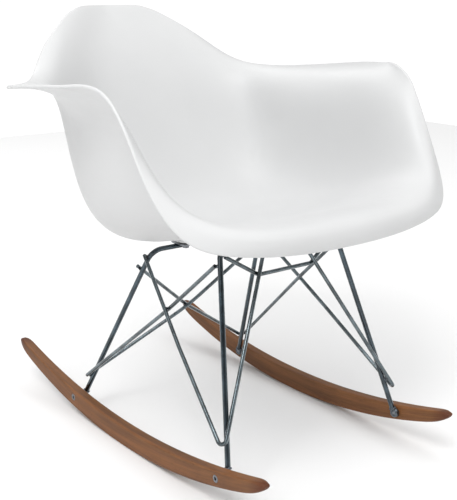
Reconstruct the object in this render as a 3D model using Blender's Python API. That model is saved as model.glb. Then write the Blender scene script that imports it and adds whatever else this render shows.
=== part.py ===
"""Rocking armchair: moulded plastic shell on a chromed wire base with two wooden rockers.

Run with: blender --background --python part.py
Units are metres, +Z is up and -Y is the front. "left" and "right" are the sitter's own
sides, so right is -X. The origin is on the floor, midway between the two rockers' contact
points. Each object is one physical piece; touching pieces keep a gap of GAP.
"""

import math

import bmesh
import bpy
import numpy as np
from mathutils import Vector

MM = 0.001
GAP = 0.3 * MM                     # clearance between pieces that touch

# ---------------------------------------------------------------- driving dimensions
# Every size below is measured from a datum point under the seat. The origin is moved from there
# to the floor, midway between the rockers' contact faces.
DATUM = Vector((0, -4.0, 3.6)) * MM
SHELL_THICKNESS = 5.0 * MM

ROCKER_UNDER_RADIUS = 985 * MM     # side view
ROCKER_TOP_RADIUS = 1300 * MM      # flatter than the underside, so that the ends are slimmer
ROCKER_HEIGHT = 33.0 * MM          # at the middle
ROCKER_REACH = 345 * MM             # from the middle to each tip, measured along Y
ROCKER_UNDER_NOSE = 50 * MM        # length of the rounding at each tip, underneath
ROCKER_TOP_NOSE = 24 * MM          # and on top
ROCKER_WIDTH = 17.5 * MM
ROCKER_OUTER_X = 188.5 * MM
ROCKER_FACETS = 15                 # odd, so that one flat facet lies on the floor
ROCKER_ROUNDING = 3.0 * MM

LEG_ROD_RADIUS = 4.0 * MM
WIRE_RADIUS = 3.0 * MM
FEET = {"front": (-241 * MM, 40.6 * MM), "rear": (153.5 * MM, 24.6 * MM)}    # bolts, Y and Z

LUG_RADIUS = 7.2 * MM
LUG_LENGTH = 6.5 * MM
BOLT_SHANK_RADIUS = 3.0 * MM
BOLT_HOLE_RADIUS = 3.3 * MM
ROCKER_BOLT_HEAD_RADIUS = 5.6 * MM
ROCKER_BOLT_HEAD_HEIGHT = 3.2 * MM

FRONT_BAR = Vector((0, -148.9, 333)) * MM      # centre of the front frame's top bar
REAR_BAR = Vector((0, 25.0, 294.5)) * MM       # centre of the rear frame's top bar
FRONT_BEND_X, REAR_BEND_X = 110.0 * MM, 109.5 * MM

MOUNT_X = 55 * MM                  # seat bolts, to each side of the centre
MOUNT_OFFSET_Y = {"front": 14 * MM, "rear": -14 * MM}   # bolt, from its top bar
TAB_SIZE = (24 * MM, 34 * MM, 2.5 * MM)
SPACER_HEIGHT = 2.5 * MM
BOSS_RADIUS = 15 * MM
INSERT_LENGTH = 5.0 * MM

# The shell's middle surface is a cubic B-spline over these ribs (mm). Each rib runs from the
# centre line (x = 0) out to the rim on the left side, and the right side mirrors it.
SHELL_RIBS = {
    "lip_edge":   [(0, -300, 355), (90, -295, 355), (185, -285, 365), (250, -250, 380),
                   (270, -190, 465), (270, -150, 545), (285, -110, 580)],
    "lip_nose":   [(0, -305, 380), (90, -305, 380), (180, -295, 385), (240, -240, 415),
                   (260, -180, 485), (265, -140, 545), (285, -100, 575)],
    "lip_crest":  [(0, -275, 395), (90, -275, 395), (175, -265, 400), (230, -215, 420),
                   (245, -155, 485), (255, -110, 555), (295, -75, 565)],
    "seat_front": [(0, -180, 370), (85, -180, 370), (170, -175, 375), (225, -150, 400),
                   (240, -100, 475), (245, -60, 560), (310, -30, 565)],
    "seat_mid":   [(0, -85, 335), (90, -85, 335), (170, -80, 340), (225, -60, 370),
                   (240, -30, 465), (240, 0, 560), (325, 25, 560)],
    "seat_rear":  [(0, 15, 310), (85, 15, 310), (165, 15, 315), (220, 20, 355),
                   (230, 35, 455), (220, 55, 560), (320, 75, 555)],
    "back_root":  [(0, 115, 310), (70, 115, 310), (135, 110, 320), (190, 100, 370),
                   (210, 95, 455), (200, 105, 550), (265, 125, 550)],
    "back_low":   [(0, 185, 395), (60, 185, 395), (115, 180, 405), (165, 160, 435),
                   (190, 150, 495), (200, 160, 545), (225, 175, 550)],
    "back_mid":   [(0, 225, 500), (45, 225, 500), (90, 220, 500), (130, 205, 510),
                   (160, 195, 530), (180, 205, 560), (195, 220, 560)],
    "back_high":  [(0, 275, 600), (35, 275, 600), (65, 270, 600), (95, 260, 595),
                   (125, 250, 595), (150, 245, 595), (165, 250, 590)],
    "back_edge":  [(0, 325, 655), (20, 320, 655), (40, 315, 655), (60, 310, 655),
                   (85, 300, 645), (105, 295, 640), (120, 285, 630)],
}
SHELL_STEPS = (26, 46)             # quads from lip to back edge, and from side to side
CORNER_STEPS = 6                   # those of the side-to-side quads that bend with each corner
ARM_CORNER = (0.15, 0.04)          # rounding of the rim at the arms' front ends and at the back's
BACK_CORNER = (0.045, 0.12)         # shoulders, as shares of the surface along and across

SIDES = {"right": -1, "left": 1}


# ---------------------------------------------------------------- helpers
def clear_scene():
    for obj in list(bpy.data.objects):
        bpy.data.objects.remove(obj, do_unlink=True)


def material(name, color, roughness, metallic=0.0):
    """Principled material with one colour, roughness and metallic value."""
    mat = bpy.data.materials.get(name) or bpy.data.materials.new(name)
    mat.use_nodes = True
    mat.diffuse_color = (*color, 1)
    shader = mat.node_tree.nodes["Principled BSDF"]
    shader.inputs["Base Color"].default_value = (*color, 1)
    shader.inputs["Roughness"].default_value = roughness
    shader.inputs["Metallic"].default_value = metallic
    return mat


def add_object(name, mesh, mat=None):
    obj = bpy.data.objects.new(name, mesh)
    obj.location = DATUM
    if mat:
        mesh.materials.append(mat)
    bpy.context.scene.collection.objects.link(obj)
    return obj


def mesh_object(name, verts, faces, mat=None):
    """One closed mesh, with its faces turned outward."""
    mesh = bpy.data.meshes.new(name)
    mesh.from_pydata([tuple(v) for v in verts], [], faces)
    bm = bmesh.new()
    bm.from_mesh(mesh)
    bmesh.ops.recalc_face_normals(bm, faces=bm.faces)
    bm.to_mesh(mesh)
    bm.free()
    return add_object(name, mesh, mat)


def joined_cutter(name, shapes):
    """Several (verts, faces) shapes as one hidden Boolean operand."""
    verts, faces = [], []
    for shape_verts, shape_faces in shapes:
        base = len(verts)
        verts += shape_verts
        faces += [[base + i for i in face] for face in shape_faces]
    cutter = mesh_object(name, verts, faces)
    cutter.display_type = 'WIRE'
    cutter.hide_render = True
    return cutter


def boolean(target, operand, operation):
    mod = target.modifiers.new(f"{operation.lower()}_{operand.name}", 'BOOLEAN')
    mod.operation = operation
    mod.solver = 'EXACT'
    mod.object = operand


def rounded_path(corners, steps=6):
    """Points of a path whose corners, given as (point, bend radius), are rounded."""
    points = [corners[0][0]]
    for (before, _), (corner, radius), (after, _) in zip(corners, corners[1:], corners[2:]):
        to_start, to_end = (before - corner).normalized(), (after - corner).normalized()
        half = to_start.angle(to_end) / 2
        centre = corner + (to_start + to_end).normalized() * (radius / math.sin(half))
        arm = radius / math.tan(half)
        first = corner + to_start * arm - centre
        last = corner + to_end * arm - centre
        turn = first.angle(last)
        for k in range(steps + 1):
            t = k / steps
            points.append(centre + (first * math.sin((1 - t) * turn)
                                    + last * math.sin(t * turn)) / math.sin(turn))
    points.append(corners[-1][0])
    return points


def tube(name, points, radius, mat, sides):
    """Round rod along a path, with flat ends and a frame that never twists."""
    verts, faces = [], []
    side = (points[1] - points[0]).orthogonal().normalized()
    for i, point in enumerate(points):
        before, after = points[max(i - 1, 0)], points[min(i + 1, len(points) - 1)]
        tangent = (after - before).normalized()
        side = (side - tangent * side.dot(tangent)).normalized()
        up = tangent.cross(side)
        for k in range(sides):
            a = 2 * math.pi * k / sides
            verts.append(point + radius * (math.cos(a) * side + math.sin(a) * up))
    for i in range(len(points) - 1):
        for k in range(sides):
            a, b = i * sides + k, i * sides + (k + 1) % sides
            faces.append((a, b, b + sides, a + sides))
    faces.append(list(range(sides))[::-1])
    faces.append([len(verts) - sides + k for k in range(sides)])
    return mesh_object(name, verts, faces, mat)


def turned(profile, origin, axis, sides=16, hollow=False, hexagonal=()):
    """Verts and faces of a profile of (radius, height) points turned about an axis.

    A hollow profile is a closed loop. The rows named in hexagonal are six-sided; the number
    of sides is then a multiple of 12, so that corners and flats both fall on vertices.
    """
    turn = Vector(axis).to_track_quat('Z', 'Y').to_matrix()
    verts, faces = [], []
    for row, (radius, height) in enumerate(profile):
        for k in range(sides):
            a = 2 * math.pi * k / sides
            r = radius
            if row in hexagonal:
                r = radius / math.cos((a % (math.pi / 3)) - math.pi / 6)
            local = Vector((r * math.cos(a), r * math.sin(a), height))
            verts.append(Vector(origin) + turn @ local)
    rows = len(profile)
    for row in range(rows if hollow else rows - 1):
        for k in range(sides):
            a, b = row * sides + k, row * sides + (k + 1) % sides
            c, d = ((row + 1) % rows) * sides + k, ((row + 1) % rows) * sides + (k + 1) % sides
            faces.append([a, b, d, c])
    if not hollow:
        faces.append(list(range(sides))[::-1])
        faces.append([(rows - 1) * sides + k for k in range(sides)])
    return verts, faces


def ring_profile(inner, outer, bottom, top):
    return [(inner, bottom), (outer, bottom), (outer, top), (inner, top)]


def mirrored(vector, side):
    return Vector((vector.x * side, vector.y, vector.z))


# ---------------------------------------------------------------- seat shell
def spline_weights(count, places):
    """Weights of a clamped, uniform cubic B-spline's control points at places in 0..1."""
    knots = [0.0] * 3 + [k / (count - 3) for k in range(count - 2)] + [1.0] * 3
    places = np.minimum(places, 1 - 1e-9)
    weights = [((knots[i] <= places) & (places < knots[i + 1])).astype(float)
               for i in range(len(knots) - 1)]
    for degree in range(1, 4):
        for i in range(len(weights) - 1):
            left = knots[i + degree] - knots[i]
            right = knots[i + degree + 1] - knots[i + 1]
            rise = (places - knots[i]) / left * weights[i] if left else 0.0
            fall = (knots[i + degree + 1] - places) / right * weights[i + 1] if right else 0.0
            weights[i] = rise + fall
        weights.pop()
    return np.stack(weights, axis=-1)


def shell_points(along, across):
    """Points of the shell's middle surface. Both places run from 0 to 1: lip to back edge,
    and right rim to left rim."""
    half = np.array(list(SHELL_RIBS.values()), float) * MM
    cage = np.concatenate([half[:, :0:-1] * (-1, 1, 1), half], axis=1)
    return np.einsum('...s,...t,stc->...c', spline_weights(cage.shape[0], along),
                     spline_weights(cage.shape[1], across), cage)


def corner_cut(across, corner):
    """How far a rounded corner moves the outline along the surface."""
    from_rim = np.minimum(across, 1 - across)
    inside = np.clip(1 - from_rim / corner[1], 0, 1)
    return corner[0] * (1 - np.sqrt(1 - inside ** 2))


def shell_places():
    """The grid's places on the surface. Its outline is a rectangle with rounded corners."""
    steps_along, steps_across = SHELL_STEPS
    widest = max(ARM_CORNER[1], BACK_CORNER[1])
    bend = widest * (1 - np.cos(np.linspace(0, math.pi / 2, CORNER_STEPS + 1)))
    rest = np.linspace(widest, 0.5, steps_across // 2 - CORNER_STEPS + 1)
    half = np.concatenate([bend, rest[1:]])
    across = np.concatenate([half, 1 - half[-2::-1]])
    low, high = corner_cut(across, ARM_CORNER), 1 - corner_cut(across, BACK_CORNER)
    share = np.linspace(0, 1, steps_along + 1)[:, None]
    along = low + share * (high - low)
    return along, np.broadcast_to(across, along.shape)


def shell_normals(along, across):
    """Unit normals of the middle surface that point up and to the front, at the sitter."""
    step = 1e-4
    down = (shell_points(np.clip(along + step, 0, 1), across)
            - shell_points(np.clip(along - step, 0, 1), across))
    side = (shell_points(along, np.clip(across + step, 0, 1))
            - shell_points(along, np.clip(across - step, 0, 1)))
    normal = np.cross(side, down)
    return normal / np.linalg.norm(normal, axis=-1, keepdims=True)


def build_seat_shell(mat):
    """Thick shell with a rounded rim, mounting bosses and blind bores for the inserts."""
    places = shell_places()
    grid, normals = shell_points(*places), shell_normals(*places)
    rows, cols = grid.shape[:2]
    index = np.arange(rows * cols).reshape(rows, cols)
    half = SHELL_THICKNESS / 2
    upper = (grid + half * normals).reshape(-1, 3)
    lower = (grid - half * normals).reshape(-1, 3)
    verts = list(upper) + list(lower)
    faces = []
    for i in range(rows - 1):
        for j in range(cols - 1):
            quad = [index[i, j], index[i, j + 1], index[i + 1, j + 1], index[i + 1, j]]
            faces.append([int(v) for v in quad])
            faces.append([int(v) + rows * cols for v in reversed(quad)])

    loop = ([(0, j) for j in range(cols)] + [(i, cols - 1) for i in range(1, rows)]
            + [(rows - 1, j) for j in range(cols - 2, -1, -1)]
            + [(i, 0) for i in range(rows - 2, 0, -1)])
    points = np.array([grid[c] for c in loop])
    normal = np.array([normals[c] for c in loop])
    tangent = np.roll(points, -1, axis=0) - np.roll(points, 1, axis=0)
    outward = np.cross(tangent, normal)
    outward /= np.linalg.norm(outward, axis=1, keepdims=True)
    inward_cell = np.array([grid[min(max(i, 1), rows - 2), min(max(j, 1), cols - 2)]
                            for i, j in loop])
    if ((points - inward_cell) * outward).sum() < 0:
        outward = -outward
    strips = [[int(index[c]) for c in loop]]
    for angle in (math.radians(45), 0.0, math.radians(-45)):
        strips.append(list(range(len(verts), len(verts) + len(loop))))
        verts += list(points + half * (math.cos(angle) * outward + math.sin(angle) * normal))
    strips.append([int(index[c]) + rows * cols for c in loop])
    for top, bottom in zip(strips, strips[1:]):
        for k in range(len(loop)):
            n = (k + 1) % len(loop)
            faces.append([top[k], bottom[k], bottom[n], top[n]])

    shell = mesh_object("seat_shell", [Vector(v) for v in verts], faces, mat)
    fine = shell_points(*np.meshgrid(np.linspace(0, 1, 121), np.linspace(0, 1, 161),
                                     indexing='ij')).reshape(-1, 3)
    bosses = joined_cutter("seat_shell_bosses", [boss_shape(m, fine) for m in seat_mounts()])
    bores = joined_cutter("seat_shell_bores", [
        turned([(4.7 * MM, -MM), (4.7 * MM, INSERT_LENGTH + 0.4 * MM)],
               (m["x"], m["y"], m["boss_z"]), (0, 0, 1)) for m in seat_mounts()])
    boolean(shell, bosses, 'UNION')
    boolean(shell, bores, 'DIFFERENCE')
    return shell


def surface_height(fine, x, y):
    """Height of the seat's middle surface above a point of the base."""
    seat = fine[fine[:, 2] < 430 * MM]
    gap = (seat[:, 0] - x) ** 2 + (seat[:, 1] - y) ** 2
    near = np.argsort(gap)[:6]
    weight = 1 / (gap[near] + 1e-7)
    return float((seat[near, 2] * weight).sum() / weight.sum())


def boss_shape(mount, fine, sides=24):
    """Short round boss whose top follows the seat's middle surface."""
    x, y, bottom = mount["x"], mount["y"], mount["boss_z"]
    verts = []
    for radius, is_top in ((BOSS_RADIUS, False), (BOSS_RADIUS + 2 * MM, True),
                           (BOSS_RADIUS / 2, True)):
        for k in range(sides):
            a = 2 * math.pi * k / sides
            px, py = x + radius * math.cos(a), y + radius * math.sin(a)
            verts.append(Vector((px, py, surface_height(fine, px, py) if is_top else bottom)))
    verts.append(Vector((x, y, surface_height(fine, x, y))))
    faces = [list(range(sides))[::-1]]
    for row in (0, 1):
        for k in range(sides):
            a, b = row * sides + k, row * sides + (k + 1) % sides
            faces.append([a, b, b + sides, a + sides])
    faces += [[2 * sides + k, 2 * sides + (k + 1) % sides, 3 * sides] for k in range(sides)]
    return verts, faces


# ---------------------------------------------------------------- seat mounts
def seat_mounts():
    """Where each seat bolt stands, with the heights of the pieces stacked on it."""
    mounts = []
    for end, bar in (("front", FRONT_BAR), ("rear", REAR_BAR)):
        for side_name, side in SIDES.items():
            tab_z = bar.z + LEG_ROD_RADIUS + GAP
            spacer_z = tab_z + TAB_SIZE[2] + GAP
            mounts.append({
                "name": f"{end}_{side_name}", "end": end,
                "x": side * MOUNT_X, "y": bar.y + MOUNT_OFFSET_Y[end],
                "tab_z": tab_z, "spacer_z": spacer_z,
                "boss_z": spacer_z + SPACER_HEIGHT + GAP})
    return mounts


def build_mount_hardware(steel, rubber, brass):
    """Tab, spacer, bolt and threaded insert at each of the four seat mounts."""
    holes = joined_cutter("mount_bolt_holes", [
        turned([(BOLT_HOLE_RADIUS, -5 * MM), (BOLT_HOLE_RADIUS, 10 * MM)],
               (m["x"], m["y"], m["tab_z"]), (0, 0, 1)) for m in seat_mounts()])
    for m in seat_mounts():
        at = Vector((m["x"], m["y"], 0))
        bar_y = m["y"] - MOUNT_OFFSET_Y[m["end"]]
        towards = math.copysign(1, MOUNT_OFFSET_Y[m["end"]])
        tab = build_tab(m, bar_y, towards, steel)
        boolean(tab, holes, 'DIFFERENCE')

        spacer = ring_profile(BOLT_HOLE_RADIUS, 11 * MM, 0, SPACER_HEIGHT)
        mesh_object(f"spacer_{m['name']}",
                    *turned(spacer, at + Vector((0, 0, m["spacer_z"])), (0, 0, 1), 24, True),
                    rubber)
        insert = ring_profile(BOLT_HOLE_RADIUS, 4.4 * MM, 0, INSERT_LENGTH)
        mesh_object(f"insert_{m['name']}",
                    *turned(insert, at + Vector((0, 0, m["boss_z"])), (0, 0, 1), 16, True),
                    brass)
        head = m["tab_z"] - GAP
        tip = m["boss_z"] + INSERT_LENGTH - head
        bolt = [(5 * MM, -4 * MM), (5 * MM, 0), (BOLT_SHANK_RADIUS, 0), (BOLT_SHANK_RADIUS, tip)]
        mesh_object(f"seat_bolt_{m['name']}",
                    *turned(bolt, at + Vector((0, 0, head)), (0, 0, 1), 12, hexagonal=(0, 1)),
                    steel)


def build_tab(mount, bar_y, towards, mat):
    """Flat steel tab that lies on the top bar and reaches past it to the bolt."""
    width, length, thickness = TAB_SIZE
    start = bar_y - towards * LEG_ROD_RADIUS
    straight = length - width / 2
    outline = [(-width / 2, 0), (width / 2, 0)]
    outline += [(width / 2 * math.cos(a), straight + width / 2 * math.sin(a))
                for a in (math.pi * k / 10 for k in range(11))]
    verts, count = [], len(outline)
    for z in (mount["tab_z"], mount["tab_z"] + thickness):
        verts += [Vector((mount["x"] + u, start + towards * v, z)) for u, v in outline]
    faces = [list(range(count)), [count + k for k in range(count)]]
    faces += [[k, (k + 1) % count, count + (k + 1) % count, count + k] for k in range(count)]
    return mesh_object(f"mount_tab_{mount['name']}", verts, faces, mat)


# ---------------------------------------------------------------- leg frames
def foot_bolt(end):
    """Centre of a left foot bolt, on the rocker's inner face."""
    y, z = FEET[end]
    return Vector((ROCKER_OUTER_X - ROCKER_WIDTH, y, z))


def build_leg_frames(mat):
    """The front and rear frames: one round rod each, bent to an inverted U."""
    legs = {}
    for name, bar, bend_x, bend in (("front", FRONT_BAR, FRONT_BEND_X, 16),
                                    ("rear", REAR_BAR, REAR_BEND_X, 22)):
        bolt = foot_bolt(name)
        lug_centre = bolt - Vector((GAP + LUG_LENGTH * 0.75, 0, 0))
        top = Vector((bend_x, bar.y, bar.z))
        upward = (top - lug_centre).normalized()
        foot = lug_centre + upward * (LUG_RADIUS + GAP + 0.9 * MM)
        corners = [(mirrored(foot, -1), 0), (mirrored(top, -1), bend * MM),
                   (top, bend * MM), (foot, 0)]
        tube(f"{name}_leg_frame", rounded_path(corners), LEG_ROD_RADIUS, mat, sides=12)
        legs[name] = (foot, top)
    return legs


# ---------------------------------------------------------------- wire braces
def build_braces(mat):
    """A V of thin wire from each foot, and the cross wire between the front legs.

    Every V starts outside its own leg, a little above the rocker. One arm runs along the
    side to the top of the other leg. The second arm of a front V climbs to the front top
    bar, and the second arm of a rear V crosses the back to the opposite rear leg.
    """
    for name, side in SIDES.items():
        front = [Vector(p) * MM for p in ((118.2, 33.6, 286.6), (147.8, -100, 181), (173.5, -240.5, 72),
                                          (31.5, -156.1, 334))]
        tube(f"brace_front_{name}", rounded_path([
            (mirrored(front[0], side), 0), (mirrored(front[1], side), 400 * MM),
            (mirrored(front[2], side), 7 * MM), (mirrored(front[3], side), 0)], 5),
            WIRE_RADIUS, mat, sides=10)

        bow = 3.8 * side              # the two back arms pass each other at the centre
        rear = [Vector(p) * MM for p in ((118.6, -149.6, 311), (129.2, -50, 224), (170.5, 149, 56),
                                         (0, 87 + bow, 168), (-122.5, 46.8, 266.6))]
        tube(f"brace_rear_{name}", rounded_path([
            (mirrored(rear[0], side), 0), (mirrored(rear[1], side), 400 * MM),
            (mirrored(rear[2], side), 7 * MM), (mirrored(rear[3], side), 400 * MM),
            (mirrored(rear[4], side), 0)], 5),
            WIRE_RADIUS, mat, sides=10)

    cross = [Vector(p) * MM for p in ((103.2, -152.5, 322), (51, -163.8, 289.5))]
    tube("front_cross_wire", rounded_path([
        (mirrored(cross[0], -1), 0), (mirrored(cross[1], -1), 12 * MM),
        (cross[1], 12 * MM), (cross[0], 0)], 5), WIRE_RADIUS, mat, sides=10)


# ---------------------------------------------------------------- rockers
def rocker_stations():
    """Side view of a rocker as (y, bottom z, top z, share of the half width) stations.

    The underside's facets touch one arc at their middles. Beyond the last facet the underside,
    then the top and the sides, close in to a rounded nose.
    """
    nose_start = ROCKER_REACH - ROCKER_UNDER_NOSE
    end_angle = math.asin(nose_start / ROCKER_UNDER_RADIUS)
    step = 2 * end_angle / ROCKER_FACETS
    facet = ROCKER_UNDER_RADIUS / math.cos(step / 2)

    def station(y, bottom):
        top = ROCKER_HEIGHT + ROCKER_TOP_RADIUS - math.sqrt(ROCKER_TOP_RADIUS ** 2 - y ** 2)
        tip = bottom + 0.6 * (top - bottom)
        under, over, sides = (
            (1 - max(0, (y - ROCKER_REACH + nose) / nose) ** 2.5) ** 0.4
            for nose in (ROCKER_UNDER_NOSE, ROCKER_TOP_NOSE, 30 * MM))
        return (y, tip - (tip - bottom) * under, tip + (top - tip) * over,
                math.sqrt(1 - 0.72 * (1 - sides ** 2)))

    half = []
    for k in range((ROCKER_FACETS + 1) // 2):
        angle = (k + 0.5) * step
        half.append(station(facet * math.sin(angle),
                            ROCKER_UNDER_RADIUS - facet * math.cos(angle)))
    start, low = half[-1][0], half[-1][1]
    slope = (low - half[-2][1]) / (start - half[-2][0])
    for degrees in (22, 40, 54, 65, 74, 81, 86):
        y = start + (ROCKER_REACH - start) * math.sin(math.radians(degrees))
        half.append(station(y, low + slope * (y - start)))
    stations = [(-y, *rest) for y, *rest in reversed(half)] + half
    return [(y - DATUM.y, bottom - DATUM.z, top - DATUM.z, share)
            for y, bottom, top, share in stations]


def rocker_section(y, bottom, top, share, side):
    """One upright section of a rocker: a rectangle with rounded corners."""
    half_width, half_height = ROCKER_WIDTH / 2 * share, (top - bottom) / 2
    middle = side * (ROCKER_OUTER_X - ROCKER_WIDTH / 2)
    rounding = min(ROCKER_ROUNDING + (1 - share) * 8 * MM, 0.9 * half_width, 0.9 * half_height)
    points = []
    for quarter, (sx, sz) in enumerate(((1, 1), (-1, 1), (-1, -1), (1, -1))):
        for k in range(3):
            angle = math.pi / 2 * (quarter + k / 2)
            points.append(Vector((
                middle + sx * (half_width - rounding) + rounding * math.cos(angle), y,
                (top + bottom) / 2 + sz * (half_height - rounding)
                + rounding * math.sin(angle))))
    return points


def build_rockers(mat):
    """Two bent wooden rockers, with counterbored holes for the foot bolts."""
    for name, side in SIDES.items():
        sections = [rocker_section(*station, side) for station in rocker_stations()]
        count = len(sections[0])
        verts = [point for section in sections for point in section]
        faces = [list(range(count)), [len(verts) - count + k for k in range(count)]]
        for row in range(len(sections) - 1):
            for k in range(count):
                a, b = row * count + k, row * count + (k + 1) % count
                faces.append([a, b, b + count, a + count])
        rocker = mesh_object(f"rocker_{name}", verts, faces, mat)

        holes = []
        for end in FEET:
            face = mirrored(foot_bolt(end), side) + Vector((side * ROCKER_WIDTH, 0, 0))
            depth = ROCKER_BOLT_HEAD_HEIGHT + GAP
            bore = ROCKER_BOLT_HEAD_RADIUS + GAP
            holes.append(turned([(BOLT_HOLE_RADIUS, -ROCKER_WIDTH - 2 * MM),
                                 (BOLT_HOLE_RADIUS, -depth), (bore, -depth), (bore, 2 * MM)],
                                face, (side, 0, 0), 24))
        boolean(rocker, joined_cutter(f"rocker_{name}_holes", holes), 'DIFFERENCE')


def build_foot_hardware(steel):
    """Lug between each leg and its rocker, and the socket bolt that passes through both."""
    for end in FEET:
        for side_name, side in SIDES.items():
            inner_face = mirrored(foot_bolt(end), side)
            inward, outward = Vector((-side, 0, 0)), Vector((side, 0, 0))
            lug = ring_profile(BOLT_HOLE_RADIUS, LUG_RADIUS, GAP, GAP + LUG_LENGTH)
            mesh_object(f"foot_lug_{end}_{side_name}",
                        *turned(lug, inner_face, inward, 24, True), steel)
            head_base = ROCKER_WIDTH - ROCKER_BOLT_HEAD_HEIGHT
            bolt = [(BOLT_SHANK_RADIUS, -LUG_LENGTH), (BOLT_SHANK_RADIUS, head_base),
                    (ROCKER_BOLT_HEAD_RADIUS, head_base),
                    (ROCKER_BOLT_HEAD_RADIUS, ROCKER_WIDTH), (2 * MM, ROCKER_WIDTH),
                    (2 * MM, ROCKER_WIDTH - 1.8 * MM)]
            mesh_object(f"rocker_bolt_{end}_{side_name}",
                        *turned(bolt, inner_face, outward, 24, hexagonal=(4, 5)), steel)


def main():
    clear_scene()
    plastic = material("white_plastic", (0.86, 0.87, 0.87), 0.42)
    chrome = material("chrome", (0.72, 0.75, 0.78), 0.12, 1.0)
    zinc = material("zinc_steel", (0.55, 0.57, 0.60), 0.35, 1.0)
    rubber = material("black_rubber", (0.03, 0.03, 0.035), 0.7)
    brass = material("brass", (0.62, 0.48, 0.22), 0.35, 1.0)
    wood = material("stained_wood", (0.26, 0.13, 0.065), 0.45)

    build_seat_shell(plastic)
    build_mount_hardware(zinc, rubber, brass)
    build_leg_frames(chrome)
    build_braces(chrome)
    build_rockers(wood)
    build_foot_hardware(zinc)


main()
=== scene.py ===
"""A rocking armchair: a moulded shell seat on a wire-strut base with bent wooden rockers.

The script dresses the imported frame, in metres, with +Z up, the seat facing -Y and the origin on
the floor midway between the rockers. Left and right are the sitter's.
"""

import logging
import math
from collections.abc import Sequence
from dataclasses import dataclass, field
from enum import Enum
from typing import Any

import bmesh
import bpy
import numpy as np
from mathutils import Matrix, Vector


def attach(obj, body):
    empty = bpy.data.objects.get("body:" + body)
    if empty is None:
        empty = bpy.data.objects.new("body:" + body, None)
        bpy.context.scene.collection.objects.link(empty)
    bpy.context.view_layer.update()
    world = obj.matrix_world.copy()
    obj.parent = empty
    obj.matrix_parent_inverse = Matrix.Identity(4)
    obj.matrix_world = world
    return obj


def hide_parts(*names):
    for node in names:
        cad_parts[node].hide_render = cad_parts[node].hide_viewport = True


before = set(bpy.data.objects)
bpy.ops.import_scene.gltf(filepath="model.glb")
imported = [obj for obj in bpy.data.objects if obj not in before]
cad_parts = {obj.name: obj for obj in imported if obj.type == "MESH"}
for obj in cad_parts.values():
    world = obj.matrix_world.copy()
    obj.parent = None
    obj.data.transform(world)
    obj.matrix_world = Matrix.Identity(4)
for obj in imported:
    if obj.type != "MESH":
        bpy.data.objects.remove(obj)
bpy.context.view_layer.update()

log = logging.getLogger("rocking_chair")

MM = 0.001
BODY = "root"
DATUM = Vector((0, -4.0, 3.6)) * MM      # the sizes' own origin, in the frame
Color = tuple[float, float, float]


# ---------------------------------------------------------------- named options
class Side(Enum):
    """The sitter's right or left, with the sign of X there."""

    RIGHT = -1
    LEFT = 1

    @property
    def word(self) -> str:
        """The side's part of a piece's name."""
        return self.name.lower()

    def mirror(self, point: Vector) -> Vector:
        """The point of the left side, carried to this side."""
        return Vector((point.x * self.value, point.y, point.z))


class End(Enum):
    """The front or rear of the base, with the sign of Y from its top bar to its seat bolts."""

    FRONT = 1
    REAR = -1

    @property
    def word(self) -> str:
        """The end's part of a piece's name."""
        return self.name.lower()


class Slot(Enum):
    """The record's material slots."""

    PLASTIC = "white_plastic"
    CHROME = "chrome"
    ZINC = "zinc_steel"
    RUBBER = "black_rubber"
    BRASS = "brass"
    WOOD = "stained_wood"


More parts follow.
